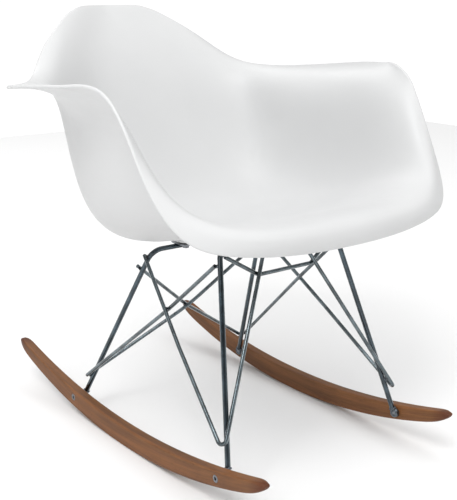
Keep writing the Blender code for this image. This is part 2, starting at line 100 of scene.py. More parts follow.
# ---------------------------------------------------------------- node trees
class NodeWriter:
    """Adds nodes to one tree and feeds their sockets."""

    def __init__(self, tree: bpy.types.NodeTree) -> None:
        """Args:
            tree: The tree to write into.
        """
        self.tree = tree

    def add(self, kind: str, feeds: dict[str | int, Any] | None = None,
            **settings: Any) -> bpy.types.Node:
        """Adds one node.

        Args:
            kind: The node's type.
            feeds: A value or an output socket for each input, by name or position.
            **settings: Properties of the node itself.

        Returns:
            The new node.
        """
        node = self.tree.nodes.new(kind)
        for name, value in settings.items():
            setattr(node, name, value)
        for key, value in (feeds or {}).items():
            self.feed(node.inputs[key], value)
        return node

    def feed(self, socket: bpy.types.NodeSocket, value: Any) -> None:
        """Links an output to a socket, or sets the socket's own value.

        Args:
            socket: The input to feed.
            value: An output socket, or a plain value.
        """
        if isinstance(value, bpy.types.NodeSocket):
            self.tree.links.new(value, socket)
        else:
            socket.default_value = value

    def math(self, operation: str, first: Any, second: Any = 0.0) -> bpy.types.NodeSocket:
        """One scalar sum, as its output socket."""
        return self.add("ShaderNodeMath", {0: first, 1: second}, operation=operation).outputs[0]

    def stretched(self, vector: bpy.types.NodeSocket, scale: Color) -> bpy.types.NodeSocket:
        """A vector multiplied by a scale for each axis, as its output socket."""
        return self.add("ShaderNodeVectorMath", {0: vector, 1: scale},
                        operation="MULTIPLY").outputs[0]

    def noise(self, vector: bpy.types.NodeSocket, scale: float, detail: float = 2.0,
              roughness: float = 0.5, distortion: float = 0.0) -> bpy.types.NodeSocket:
        """A noise texture's value, as its output socket."""
        return self.add("ShaderNodeTexNoise", {"Vector": vector, "Scale": scale, "Detail": detail,
                                               "Roughness": roughness,
                                               "Distortion": distortion}).outputs[0]

    def ranged(self, value: bpy.types.NodeSocket, old: tuple[float, float],
               new: tuple[float, float]) -> bpy.types.NodeSocket:
        """A value carried from one range to another and held inside it."""
        return self.add("ShaderNodeMapRange", {"Value": value, "From Min": old[0],
                                               "From Max": old[1], "To Min": new[0],
                                               "To Max": new[1]}).outputs[0]

    def mixed(self, factor: Any, first: Any, second: Any,
              blend: str = "MIX") -> bpy.types.NodeSocket:
        """Two colours mixed, as the output socket.

        Args:
            factor: How much of the second colour, as a value or a socket.
            first: A colour or a socket.
            second: A colour or a socket.
            blend: The blend mode.

        Returns:
            The mixed colour's socket.
        """
        node = self.add("ShaderNodeMix", data_type="RGBA", blend_type=blend)
        self.feed(node.inputs[0], factor)
        for index, value in ((6, first), (7, second)):
            self.feed(node.inputs[index],
                      (*value, 1.0) if isinstance(value, tuple) else value)
        return node.outputs[2]

    def bumped(self, height: bpy.types.NodeSocket, depth: float, strength: float = 1.0,
               below: bpy.types.NodeSocket | None = None) -> bpy.types.NodeSocket:
        """A bump's normal.

        Args:
            height: The height, from 0 to 1.
            depth: What a height of 1 is, in metres.
            strength: How much of the bump shows.
            below: The normal of a coarser bump under this one.

        Returns:
            The normal's socket.
        """
        feeds: dict[str | int, Any] = {"Height": height, "Distance": depth, "Strength": strength}
        if below is not None:
            feeds["Normal"] = below
        return self.add("ShaderNodeBump", feeds).outputs[0]


@dataclass(frozen=True)
class TreeInput:
    """A named input of a geometry tree."""

    name: str
    kind: str
    default: Any = None


class GeometryTree:
    """A geometry tree with named inputs, which is run on a mesh of guide points."""

    def __init__(self, name: str, inputs: Sequence[TreeInput]) -> None:
        """Args:
            name: The tree's name.
            inputs: Its inputs, after the geometry itself.
        """
        self.tree = bpy.data.node_groups.new(name, "GeometryNodeTree")
        self.tree.interface.new_socket("Geometry", in_out="INPUT",
                                       socket_type="NodeSocketGeometry")
        for item in inputs:
            socket = self.tree.interface.new_socket(item.name, in_out="INPUT",
                                                    socket_type=item.kind)
            if item.default is not None:
                socket.default_value = item.default
        self.tree.interface.new_socket("Geometry", in_out="OUTPUT",
                                       socket_type="NodeSocketGeometry")
        self.nodes = NodeWriter(self.tree)
        self.given = self.nodes.add("NodeGroupInput").outputs

    def close(self, geometry: bpy.types.NodeSocket) -> None:
        """Ends the tree with realised instances that wear the tree's Finish input."""
        real = self.nodes.add("GeometryNodeRealizeInstances", {0: geometry})
        dressed = self.nodes.add("GeometryNodeSetMaterial",
                                 {"Geometry": real.outputs[0], "Material": self.given["Finish"]})
        self.nodes.add("NodeGroupOutput", {0: dressed.outputs[0]})

    def run(self, name: str, guide: bpy.types.Mesh, values: dict[str, Any]) -> bpy.types.Object:
        """Runs the tree on a guide mesh and keeps the result as a plain mesh.

        Args:
            name: The new piece's name.
            guide: The mesh of guide points, which is used up.
            values: A value for each named input.

        Returns:
            The new piece, at the origin.
        """
        carrier = bpy.data.objects.new(f"{name}_guide", guide)
        bpy.context.scene.collection.objects.link(carrier)
        modifier = carrier.modifiers.new("build", "NODES")
        modifier.node_group = self.tree
        for item in self.tree.interface.items_tree:
            if item.item_type == "SOCKET" and item.in_out == "INPUT" and item.name in values:
                modifier[item.identifier] = values[item.name]
        graph = bpy.context.evaluated_depsgraph_get()
        mesh = bpy.data.meshes.new_from_object(carrier.evaluated_get(graph),
                                               preserve_all_data_layers=True, depsgraph=graph)
        carrier.modifiers.remove(modifier)
        bpy.data.objects.remove(carrier)
        bpy.data.meshes.remove(guide)
        mesh.name = name
        piece = bpy.data.objects.new(name, mesh)
        bpy.context.scene.collection.objects.link(piece)
        return piece


def rod_tree() -> GeometryTree:
    """The tree that draws a round rod along a path whose points carry a girth."""
    tree = GeometryTree("rod_along_path", (TreeInput("Radius", "NodeSocketFloat", 5 * MM),
                                           TreeInput("Sides", "NodeSocketInt", 32),
                                           TreeInput("Finish", "NodeSocketMaterial")))
    nodes = tree.nodes
    line = nodes.add("GeometryNodeMeshToCurve", {0: tree.given["Geometry"]})
    girth = nodes.add("GeometryNodeInputNamedAttribute", {"Name": "girth"}, data_type="FLOAT")
    sized = nodes.add("GeometryNodeSetCurveRadius",
                      {"Curve": line.outputs[0], "Radius": girth.outputs["Attribute"]})
    circle = nodes.add("GeometryNodeCurvePrimitiveCircle",
                       {"Resolution": tree.given["Sides"], "Radius": tree.given["Radius"]})
    rod = nodes.add("GeometryNodeCurveToMesh",
                    {"Curve": sized.outputs[0], "Profile Curve": circle.outputs[0],
                     "Fill Caps": True})
    smooth = nodes.add("GeometryNodeSetShadeSmooth", {0: rod.outputs[0], "Shade Smooth": True})
    tree.close(smooth.outputs[0])
    return tree


def repeat_tree() -> GeometryTree:
    """The tree that sets an item on every guide point, turned as the point says."""
    tree = GeometryTree("item_on_points", (TreeInput("Item", "NodeSocketObject"),
                                           TreeInput("Finish", "NodeSocketMaterial")))
    nodes = tree.nodes
    item = nodes.add("GeometryNodeObjectInfo", {"Object": tree.given["Item"]})
    turn = nodes.add("GeometryNodeInputNamedAttribute", {"Name": "turn"},
                     data_type="FLOAT_VECTOR")
    rotation = nodes.add("FunctionNodeEulerToRotation", {0: turn.outputs["Attribute"]})
    placed = nodes.add("GeometryNodeInstanceOnPoints",
                       {"Points": tree.given["Geometry"], "Instance": item.outputs["Geometry"],
                        "Rotation": rotation.outputs[0]})
    tree.close(placed.outputs[0])
    return tree


def weld_tree() -> GeometryTree:
    """The tree that lays a small lumpy bead of weld on every guide point."""
    tree = GeometryTree("weld_beads", (TreeInput("Lumps", "NodeSocketFloat", 0.5 * MM),
                                       TreeInput("Lump Size", "NodeSocketFloat", 2.5 * MM),
                                       TreeInput("Seed", "NodeSocketFloat", 3.0),
                                       TreeInput("Finish", "NodeSocketMaterial")))
    nodes = tree.nodes
    bead = nodes.add("GeometryNodeMeshIcoSphere", {"Radius": 1.0, "Subdivisions": 4})
    turn = nodes.add("GeometryNodeInputNamedAttribute", {"Name": "turn"},
                     data_type="FLOAT_VECTOR")
    size = nodes.add("GeometryNodeInputNamedAttribute", {"Name": "size"},
                     data_type="FLOAT_VECTOR")
    rotation = nodes.add("FunctionNodeEulerToRotation", {0: turn.outputs["Attribute"]})
    placed = nodes.add("GeometryNodeInstanceOnPoints",
                       {"Points": tree.given["Geometry"], "Instance": bead.outputs[0],
                        "Rotation": rotation.outputs[0], "Scale": size.outputs["Attribute"]})
    real = nodes.add("GeometryNodeRealizeInstances", {0: placed.outputs[0]})
    place = nodes.add("GeometryNodeInputPosition").outputs[0]
    fineness = nodes.math("DIVIDE", 1.0, tree.given["Lump Size"])
    lumps = nodes.add("ShaderNodeTexNoise", {"Vector": place, "W": tree.given["Seed"],
                                             "Scale": fineness, "Detail": 1.5},
                      noise_dimensions="4D").outputs[0]
    height = nodes.math("MULTIPLY", nodes.math("SUBTRACT", lumps, 0.5), tree.given["Lumps"])
    offset = nodes.add("ShaderNodeVectorMath",
                       {0: nodes.add("GeometryNodeInputNormal").outputs[0], "Scale": height},
                       operation="SCALE")
    moved = nodes.add("GeometryNodeSetPosition", {0: real.outputs[0], "Offset": offset.outputs[0]})
    smooth = nodes.add("GeometryNodeSetShadeSmooth", {0: moved.outputs[0], "Shade Smooth": True})
    tree.close(smooth.outputs[0])
    return tree


# ---------------------------------------------------------------- finishes
@dataclass(frozen=True)
class Finish:
    """What all the finishes share.

    Attributes:
        name: The material's name.
        slot: The record's slot that the finish belongs to.
        color: The main colour, linear.
        roughness: The mean roughness.
        metallic: 1 for bare metal.
    """

    name: str
    slot: Slot
    color: Color
    roughness: float
    metallic: float = 0.0

    def material(self) -> bpy.types.Material:
        """The finish's material, which is made on its first use."""
        found = bpy.data.materials.get(self.name)
        if found is not None:
            return found
        made = bpy.data.materials.new(self.name)
        made.use_nodes = True
        made.diffuse_color = (*self.color, 1.0)
        shader = made.node_tree.nodes["Principled BSDF"]
        shader.inputs["Metallic"].default_value = self.metallic
        self.dress(NodeWriter(made.node_tree), shader)
        return made

    def dress(self, nodes: NodeWriter, shader: bpy.types.Node) -> None:
        """Feeds the shader's colour, roughness and normal.

        Args:
            nodes: Writes into the material's tree.
            shader: The material's Principled shader.
        """
        raise NotImplementedError

    def shade(self, color: Color, share: float) -> Color:
        """A colour times a share, for the darker and lighter ends of a variation."""
        return (color[0] * share, color[1] * share, color[2] * share)


@dataclass(frozen=True)
class MouldedPlastic(Finish):
    """Satin white plastic, as it leaves a spark-eroded mould."""

    pebble_size: float = 0.9 * MM
    pebble_depth: float = 0.012 * MM

    def dress(self, nodes: NodeWriter, shader: bpy.types.Node) -> None:
        """Cloudy tint, a fine pebbled skin, and faint scuffs in the gloss."""
        place = nodes.add("ShaderNodeTexCoord").outputs["Object"]
        cloud = nodes.noise(place, 7.0, 3.0, 0.55)
        nodes.feed(shader.inputs["Base Color"],
                   nodes.mixed(nodes.ranged(cloud, (0.35, 0.65), (0.0, 1.0)),
                               self.shade(self.color, 0.975), self.color))
        scuffs = nodes.noise(nodes.stretched(place, (60.0, 9.0, 24.0)), 3.0, 6.0, 0.7, 0.4)
        nodes.feed(shader.inputs["Roughness"],
                   nodes.ranged(scuffs, (0.3, 0.75), (self.roughness - 0.05,
                                                      self.roughness + 0.08)))
        pebbles = nodes.noise(place, 1.0 / self.pebble_size, 2.0, 0.6)
        waves = nodes.noise(place, 22.0, 1.0, 0.4)
        slow = nodes.bumped(waves, 0.18 * MM, 0.35)
        nodes.feed(shader.inputs["Normal"],
                   nodes.bumped(pebbles, self.pebble_depth, 0.5, slow))
        shader.inputs["Specular IOR Level"].default_value = 0.45


@dataclass(frozen=True)
class Plating(Finish):
    """Plated rod: a hard mirror with a little orange peel and a few fine rubs. Its base colour is
    painted dark, with lighter and darker patches, as a painted reflection of dark surroundings.
    """

    peel_size: float = 1.6 * MM

    def dress(self, nodes: NodeWriter, shader: bpy.types.Node) -> None:
        """Painted reflection: lighter and darker patches over a dark base colour, with gloss changes
        over a nearly even mirror.
        """
        place = nodes.add("ShaderNodeTexCoord").outputs["Object"]
        # painted reflection: the dark base colour and its lighter and darker patches stand in for
        # reflections of dark surroundings, not for a tint of the plating
        cloud = nodes.noise(place, 38.0, 3.0, 0.6)
        nodes.feed(shader.inputs["Base Color"],
                   nodes.mixed(nodes.ranged(cloud, (0.4, 0.7), (0.0, 1.0)),
                               self.shade(self.color, 0.55), self.shade(self.color, 1.5)))
        shader.inputs["Coat Weight"].default_value = 1.0
        shader.inputs["Coat IOR"].default_value = 1.5
        shader.inputs["Coat Roughness"].default_value = 0.03
        rubs = nodes.noise(nodes.stretched(place, (420.0, 420.0, 60.0)), 1.0, 5.0, 0.7)
        nodes.feed(shader.inputs["Roughness"],
                   nodes.ranged(rubs, (0.45, 0.8), (self.roughness, self.roughness + 0.16)))
        peel = nodes.noise(place, 1.0 / self.peel_size, 1.0, 0.4)
        nodes.feed(shader.inputs["Normal"], nodes.bumped(peel, 0.012 * MM, 0.4))


@dataclass(frozen=True)
class WornMetal(Finish):
    """Plain or plated small metal parts and weld metal, duller than the rods."""

    grain: float = 260.0
    relief: float = 0.03 * MM
    tarnish: Color = (0.10, 0.09, 0.085)
    tarnish_share: float = 0.35

    def dress(self, nodes: NodeWriter, shader: bpy.types.Node) -> None:
        """Patchy tarnish, uneven gloss and a grainy skin."""
        place = nodes.add("ShaderNodeTexCoord").outputs["Object"]
        patches = nodes.noise(place, self.grain * 0.6, 4.0, 0.65)
        nodes.feed(shader.inputs["Base Color"],
                   nodes.mixed(nodes.ranged(patches, (0.5, 0.78), (0.0, self.tarnish_share)),
                               self.color, self.tarnish))
        nodes.feed(shader.inputs["Roughness"],
                   nodes.ranged(patches, (0.3, 0.75), (self.roughness - 0.08,
                                                       self.roughness + 0.18)))
        skin = nodes.noise(place, self.grain * 3.0, 3.0, 0.6)
        nodes.feed(shader.inputs["Normal"], nodes.bumped(skin, self.relief, 0.5))


@dataclass(frozen=True)
class StainedWood(Finish):
    """Stained, oiled hardwood. Its figure follows the bend through the grain attribute.

    The attribute holds metres along the rocker, up through it and across it.
    """

    dark: Color = (0.045, 0.018, 0.009)
    light: Color = (0.32, 0.150, 0.058)
    rubbed: Color = (0.29, 0.135, 0.070)
    end_grain: Color = (0.085, 0.022, 0.010)

    def dress(self, nodes: NodeWriter, shader: bpy.types.Node) -> None:
        """Growth lines, fibres, pores, uneven stain and paler rubbed edges."""
        grain = nodes.add("ShaderNodeAttribute", attribute_name="grain").outputs["Vector"]
        figure = nodes.noise(nodes.stretched(grain, (3.2, 95.0, 70.0)), 1.0, 4.0, 0.6, 0.8)
        fibres = nodes.noise(nodes.stretched(grain, (22.0, 1100.0, 900.0)), 1.0, 3.0, 0.65)
        pores = nodes.noise(nodes.stretched(grain, (95.0, 2300.0, 2000.0)), 1.0, 1.0, 0.5)
        stain = nodes.noise(nodes.stretched(grain, (9.0, 30.0, 30.0)), 1.0, 2.0, 0.5)
        pore_mask = nodes.ranged(pores, (0.60, 0.72), (0.0, 1.0))

        color = nodes.mixed(nodes.ranged(figure, (0.36, 0.66), (0.0, 1.0)),
                            self.shade(self.color, 0.62), self.shade(self.color, 1.30))
        color = nodes.mixed(nodes.ranged(fibres, (0.38, 0.70), (0.0, 0.40)), color, self.light)
        color = nodes.mixed(nodes.ranged(stain, (0.42, 0.72), (0.0, 0.30)), color, self.dark)
        color = nodes.mixed(nodes.math("MULTIPLY", pore_mask, 0.55), color, self.dark)
        rub = nodes.add("ShaderNodeAttribute", attribute_name="rub").outputs["Fac"]
        worn = nodes.math("MULTIPLY", rub, nodes.ranged(fibres, (0.3, 0.7), (0.25, 0.75)))
        color = nodes.mixed(worn, color, self.rubbed)
        nose = nodes.add("ShaderNodeAttribute", attribute_name="nose").outputs["Fac"]
        soaked = nodes.math("MULTIPLY", nose, nodes.ranged(stain, (0.3, 0.6), (0.65, 1.0)))
        nodes.feed(shader.inputs["Base Color"], nodes.mixed(soaked, color, self.end_grain))

        gloss = nodes.ranged(fibres, (0.3, 0.7), (self.roughness - 0.06, self.roughness + 0.08))
        nodes.feed(shader.inputs["Roughness"],
                   nodes.math("ADD", gloss, nodes.math("MULTIPLY", rub, 0.15)))
        coarse = nodes.bumped(figure, 0.10 * MM, 0.35)
        fine = nodes.bumped(fibres, 0.05 * MM, 0.5, coarse)
        nodes.feed(shader.inputs["Normal"],
                   nodes.bumped(nodes.math("SUBTRACT", 1.0, pore_mask), 0.06 * MM, 0.6, fine))
        shader.inputs["Specular IOR Level"].default_value = 0.28


@dataclass(frozen=True)
class MouldedRubber(Finish):
    """Dull black rubber with a slightly dusty skin."""

    dust: Color = (0.10, 0.10, 0.10)

    def dress(self, nodes: NodeWriter, shader: bpy.types.Node) -> None:
        """Dust in patches over a fine, soft grain."""
        place = nodes.add("ShaderNodeTexCoord").outputs["Object"]
        patches = nodes.noise(place, 180.0, 4.0, 0.6)
        nodes.feed(shader.inputs["Base Color"],
                   nodes.mixed(nodes.ranged(patches, (0.5, 0.8), (0.0, 0.4)),
                               self.color, self.dust))
        nodes.feed(shader.inputs["Roughness"],
                   nodes.ranged(patches, (0.3, 0.7), (self.roughness - 0.08,
                                                      self.roughness + 0.1)))
        skin = nodes.noise(place, 1400.0, 2.0, 0.5)
        nodes.feed(shader.inputs["Normal"], nodes.bumped(skin, 0.04 * MM, 0.5))


@dataclass(frozen=True)
class Finishes:
    """The chair's finishes, by the pieces that wear them."""

    shell: Finish = MouldedPlastic("shell_plastic", Slot.PLASTIC, (0.60, 0.604, 0.606), 0.42)
    # rods and wires are one plating; their dark base colours are painted reflection, darker on the
    # rods and lighter on the wires
    rods: Finish = Plating("bright_plating", Slot.CHROME, (0.040, 0.062, 0.078), 0.20, 1.0)
    wires: Finish = Plating("plated_wire", Slot.CHROME, (0.110, 0.140, 0.155), 0.22, 1.0)
    welds: Finish = WornMetal("weld_metal", Slot.CHROME, (0.13, 0.15, 0.17), 0.24, 1.0,
                              grain=420.0, relief=0.05 * MM)
    fittings: Finish = WornMetal("zinc_plating", Slot.ZINC, (0.24, 0.25, 0.27), 0.33, 1.0)
    inserts: Finish = WornMetal("turned_brass", Slot.BRASS, (0.62, 0.48, 0.22), 0.34, 1.0,
                                tarnish=(0.25, 0.16, 0.07))
    spacers: Finish = MouldedRubber("spacer_rubber", Slot.RUBBER, (0.03, 0.03, 0.034), 0.68)
    rockers: Finish = StainedWood("rocker_wood", Slot.WOOD, (0.168, 0.064, 0.020), 0.50)


FINISHES = Finishes()


# ---------------------------------------------------------------- meshes and pieces
def keep_piece(piece: bpy.types.Object, finish: Finish, replaced: Sequence[str] = ()) -> None:
    """Moves a finished piece from its own origin into the frame, hands it over and reports it.

    Args:
        piece: The piece, at the origin.
        finish: The finish it wears.
        replaced: The CAD nodes it stands for.
    """
    piece.data.transform(Matrix.Translation(DATUM))
    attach(piece, BODY)
    if replaced:
        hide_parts(*replaced)
    log.info("%s: %d faces, %s", piece.name, len(piece.data.polygons), finish.name)


def new_mesh(name: str, points: Sequence[Sequence[float]] | np.ndarray,
             faces: Sequence[Sequence[int]], edges: Sequence[Sequence[int]] = ()
             ) -> bpy.types.Mesh:
    """A mesh from plain points and faces."""
    mesh = bpy.data.meshes.new(name)
    mesh.from_pydata([tuple(map(float, p)) for p in points], list(edges), list(faces))
    mesh.validate()
    return mesh


def turn_outward(mesh: bpy.types.Mesh, sharp_above: float = math.radians(35)) -> None:
    """Turns a closed mesh's faces outward, and shades it smooth but for its sharp edges.

    Args:
        mesh: The mesh to change.
        sharp_above: Edges that bend more than this angle stay sharp.
    """
    shape = bmesh.new()
    shape.from_mesh(mesh)
    bmesh.ops.recalc_face_normals(shape, faces=shape.faces)
    for face in shape.faces:
        face.smooth = True
    for edge in shape.edges:
        edge.smooth = not (len(edge.link_faces) == 2
                           and edge.calc_face_angle(0.0) > sharp_above)
    shape.to_mesh(mesh)
    shape.free()


def new_object(name: str, mesh: bpy.types.Mesh, finish: Finish | None = None
               ) -> bpy.types.Object:
    """An object at the origin, with its finish in its first material slot."""
    piece = bpy.data.objects.new(name, mesh)
    if finish is not None:
        mesh.materials.append(finish.material())
    bpy.context.scene.collection.objects.link(piece)
    return piece


def guide_points(name: str, points: Sequence[Vector],
                 attributes: dict[str, Sequence[Any]]) -> bpy.types.Mesh:
    """A mesh of loose points that carry attributes.

    Args:
        name: The mesh's name.
        points: The points.
        attributes: Floats or vectors for each point, by the attribute's name.

    Returns:
        The mesh.
    """
    mesh = new_mesh(name, points, [])
    add_attributes(mesh, attributes)
    return mesh


def add_attributes(mesh: bpy.types.Mesh, attributes: dict[str, Sequence[Any]]) -> None:
    """Stores floats or vectors on a mesh's points.

    Args:
        mesh: The mesh.
        attributes: One value for each point, by the attribute's name.
    """
    for name, values in attributes.items():
        table = np.array([tuple(v) if isinstance(v, Vector) else v for v in values],
                         dtype=np.float32)
        kind, key = ("FLOAT", "value") if table.ndim == 1 else ("FLOAT_VECTOR", "vector")
        mesh.attributes.new(name, kind, "POINT").data.foreach_set(key, table.ravel())


@dataclass(frozen=True)
class Ring:
    """One ring of a turned profile, in millimetres. A six-sided ring is a hexagon."""

    radius: float
    height: float
    six_sided: bool = False


def turned_mesh(name: str, rings: Sequence[Ring], sides: int = 48,
                hollow: bool = False) -> bpy.types.Mesh:
    """A profile turned about +Z.

    Args:
        name: The mesh's name.
        rings: The profile from one end to the other, or round a closed loop.
        sides: Points in each ring, a multiple of 12.
        hollow: Whether the last ring joins the first, so that the shape has a bore.

    Returns:
        The closed mesh.
    """
    points: list[tuple[float, float, float]] = []
    for ring in rings:
        for k in range(sides):
            angle = 2 * math.pi * k / sides
            radius = ring.radius
            if ring.six_sided:
                radius /= math.cos((angle % (math.pi / 3)) - math.pi / 6)
            points.append((radius * math.cos(angle) * MM, radius * math.sin(angle) * MM,
                           ring.height * MM))
    faces: list[list[int]] = []
    rows = len(rings)
    for row in range(rows if hollow else rows - 1):
        for k in range(sides):
            a, b = row * sides + k, row * sides + (k + 1) % sides
            c, d = ((row + 1) % rows) * sides + k, ((row + 1) % rows) * sides + (k + 1) % sides
            faces.append([a, b, d, c])
    if not hollow:
        faces.append(list(range(sides))[::-1])
        faces.append([(rows - 1) * sides + k for k in range(sides)])
    mesh = new_mesh(name, points, faces)
    turn_outward(mesh)
    return mesh


def repeated_piece(tree: GeometryTree, name: str, item: bpy.types.Mesh, finish: Finish,
                   places: Sequence[tuple[Vector, Vector]]) -> bpy.types.Object:
    """An item set at several places, as one plain mesh.

    Args:
        tree: The tree that repeats it.
        name: The piece's name.
        item: The item's mesh, which stands along +Z. It is used up.
        finish: The finish it wears.
        places: Each place's origin, and the direction in which its +Z points.

    Returns:
        The new piece.
    """
    original = new_object(f"{name}_item", item)
    turns = [Vector(axis.to_track_quat("Z", "Y").to_euler()) for _, axis in places]
    guide = guide_points(f"{name}_points", [origin for origin, _ in places], {"turn": turns})
    piece = tree.run(name, guide, {"Item": original, "Finish": finish.material()})
    bpy.data.objects.remove(original)
    bpy.data.meshes.remove(item)
    return piece


# ---------------------------------------------------------------- centre lines
@dataclass(frozen=True)
class Corner:
    """A corner of a bent rod's centre line, in millimetres, and the radius of its bend."""

    x: float
    y: float
    z: float
    bend: float = 0.0

    @property
    def point(self) -> Vector:
        """The corner, in metres."""
        return Vector((self.x, self.y, self.z)) * MM


def bent_line(corners: Sequence[tuple[Vector, float]], steps: int = 16) -> list[Vector]:
    """The centre line of a rod that is bent at its corners.

    Args:
        corners: Each corner and the radius of its bend, in metres. The ends have none.
        steps: Pieces in each bend.

    Returns:
        The points from end to end.
    """
    points = [corners[0][0].copy()]
    for (before, _), (corner, radius), (after, _) in zip(corners, corners[1:], corners[2:]):
        to_start, to_end = (before - corner).normalized(), (after - corner).normalized()
        half = to_start.angle(to_end) / 2
        centre = corner + (to_start + to_end).normalized() * (radius / math.sin(half))
        arm = radius / math.tan(half)
        first, last = corner + to_start * arm - centre, corner + to_end * arm - centre
        turn = first.angle(last)
        for k in range(steps + 1):
            t = k / steps
            points.append(centre + (first * math.sin((1 - t) * turn)
                                    + last * math.sin(t * turn)) / math.sin(turn))
    points.append(corners[-1][0].copy())
    return points


def rounded_ends(points: Sequence[Vector], radius: float, share: float = 0.35
                 ) -> tuple[list[Vector], list[float]]:
    """A rod's path with its end edges rounded.

    Args:
        points: The centre line.
        radius: The rod's radius.
        share: The rounding, as a share of the radius.

    Returns:
        The path's points, and the rod's girth at each as a share of its radius.
    """
    start_way = (points[1] - points[0]).normalized()
    end_way = (points[-2] - points[-1]).normalized()
    depth = [radius * share * (1 - math.cos(math.pi / 2 * k / 5)) for k in range(6)]
    girth = [1 - share + share * math.sin(math.pi / 2 * k / 5) for k in range(6)]
    path = [points[0] + start_way * d for d in depth] + list(points[1:-1])
    path += [points[-1] + end_way * d for d in reversed(depth)]
    return path, girth + [1.0] * (len(points) - 2) + girth[::-1]


def dense_points(line: Sequence[Vector], step: float = 1.0 * MM) -> np.ndarray:
    """Points every so often along a centre line."""
    rows: list[np.ndarray] = []
    for a, b in zip(line, line[1:]):
        count = max(1, round((b - a).length / step))
        rows += [np.array(a.lerp(b, k / count)) for k in range(count)]
    rows.append(np.array(line[-1]))
    return np.array(rows)


def contact(first: Sequence[Vector], second: Sequence[Vector], near: Vector,
            reach: float = 30 * MM) -> tuple[Vector, Vector, Vector]:
    """Where two rods come closest, near a given point.

    Args:
        first: The first rod's centre line.
        second: The second rod's centre line.
        near: A point close to the joint.
        reach: How far from it to look along the first rod.

    Returns:
        The closest point of each centre line, and the first rod's direction there.
    """
    a, b = dense_points(first), dense_points(second)
    a = a[np.linalg.norm(a - np.array(near), axis=1) < reach]
    gaps = np.linalg.norm(a[:, None] - b[None], axis=2)
    i, j = np.unravel_index(int(gaps.argmin()), gaps.shape)
    way = Vector(a[min(i + 3, len(a) - 1)] - a[max(i - 3, 0)]).normalized()
    return Vector(a[i]), Vector(b[j]), way


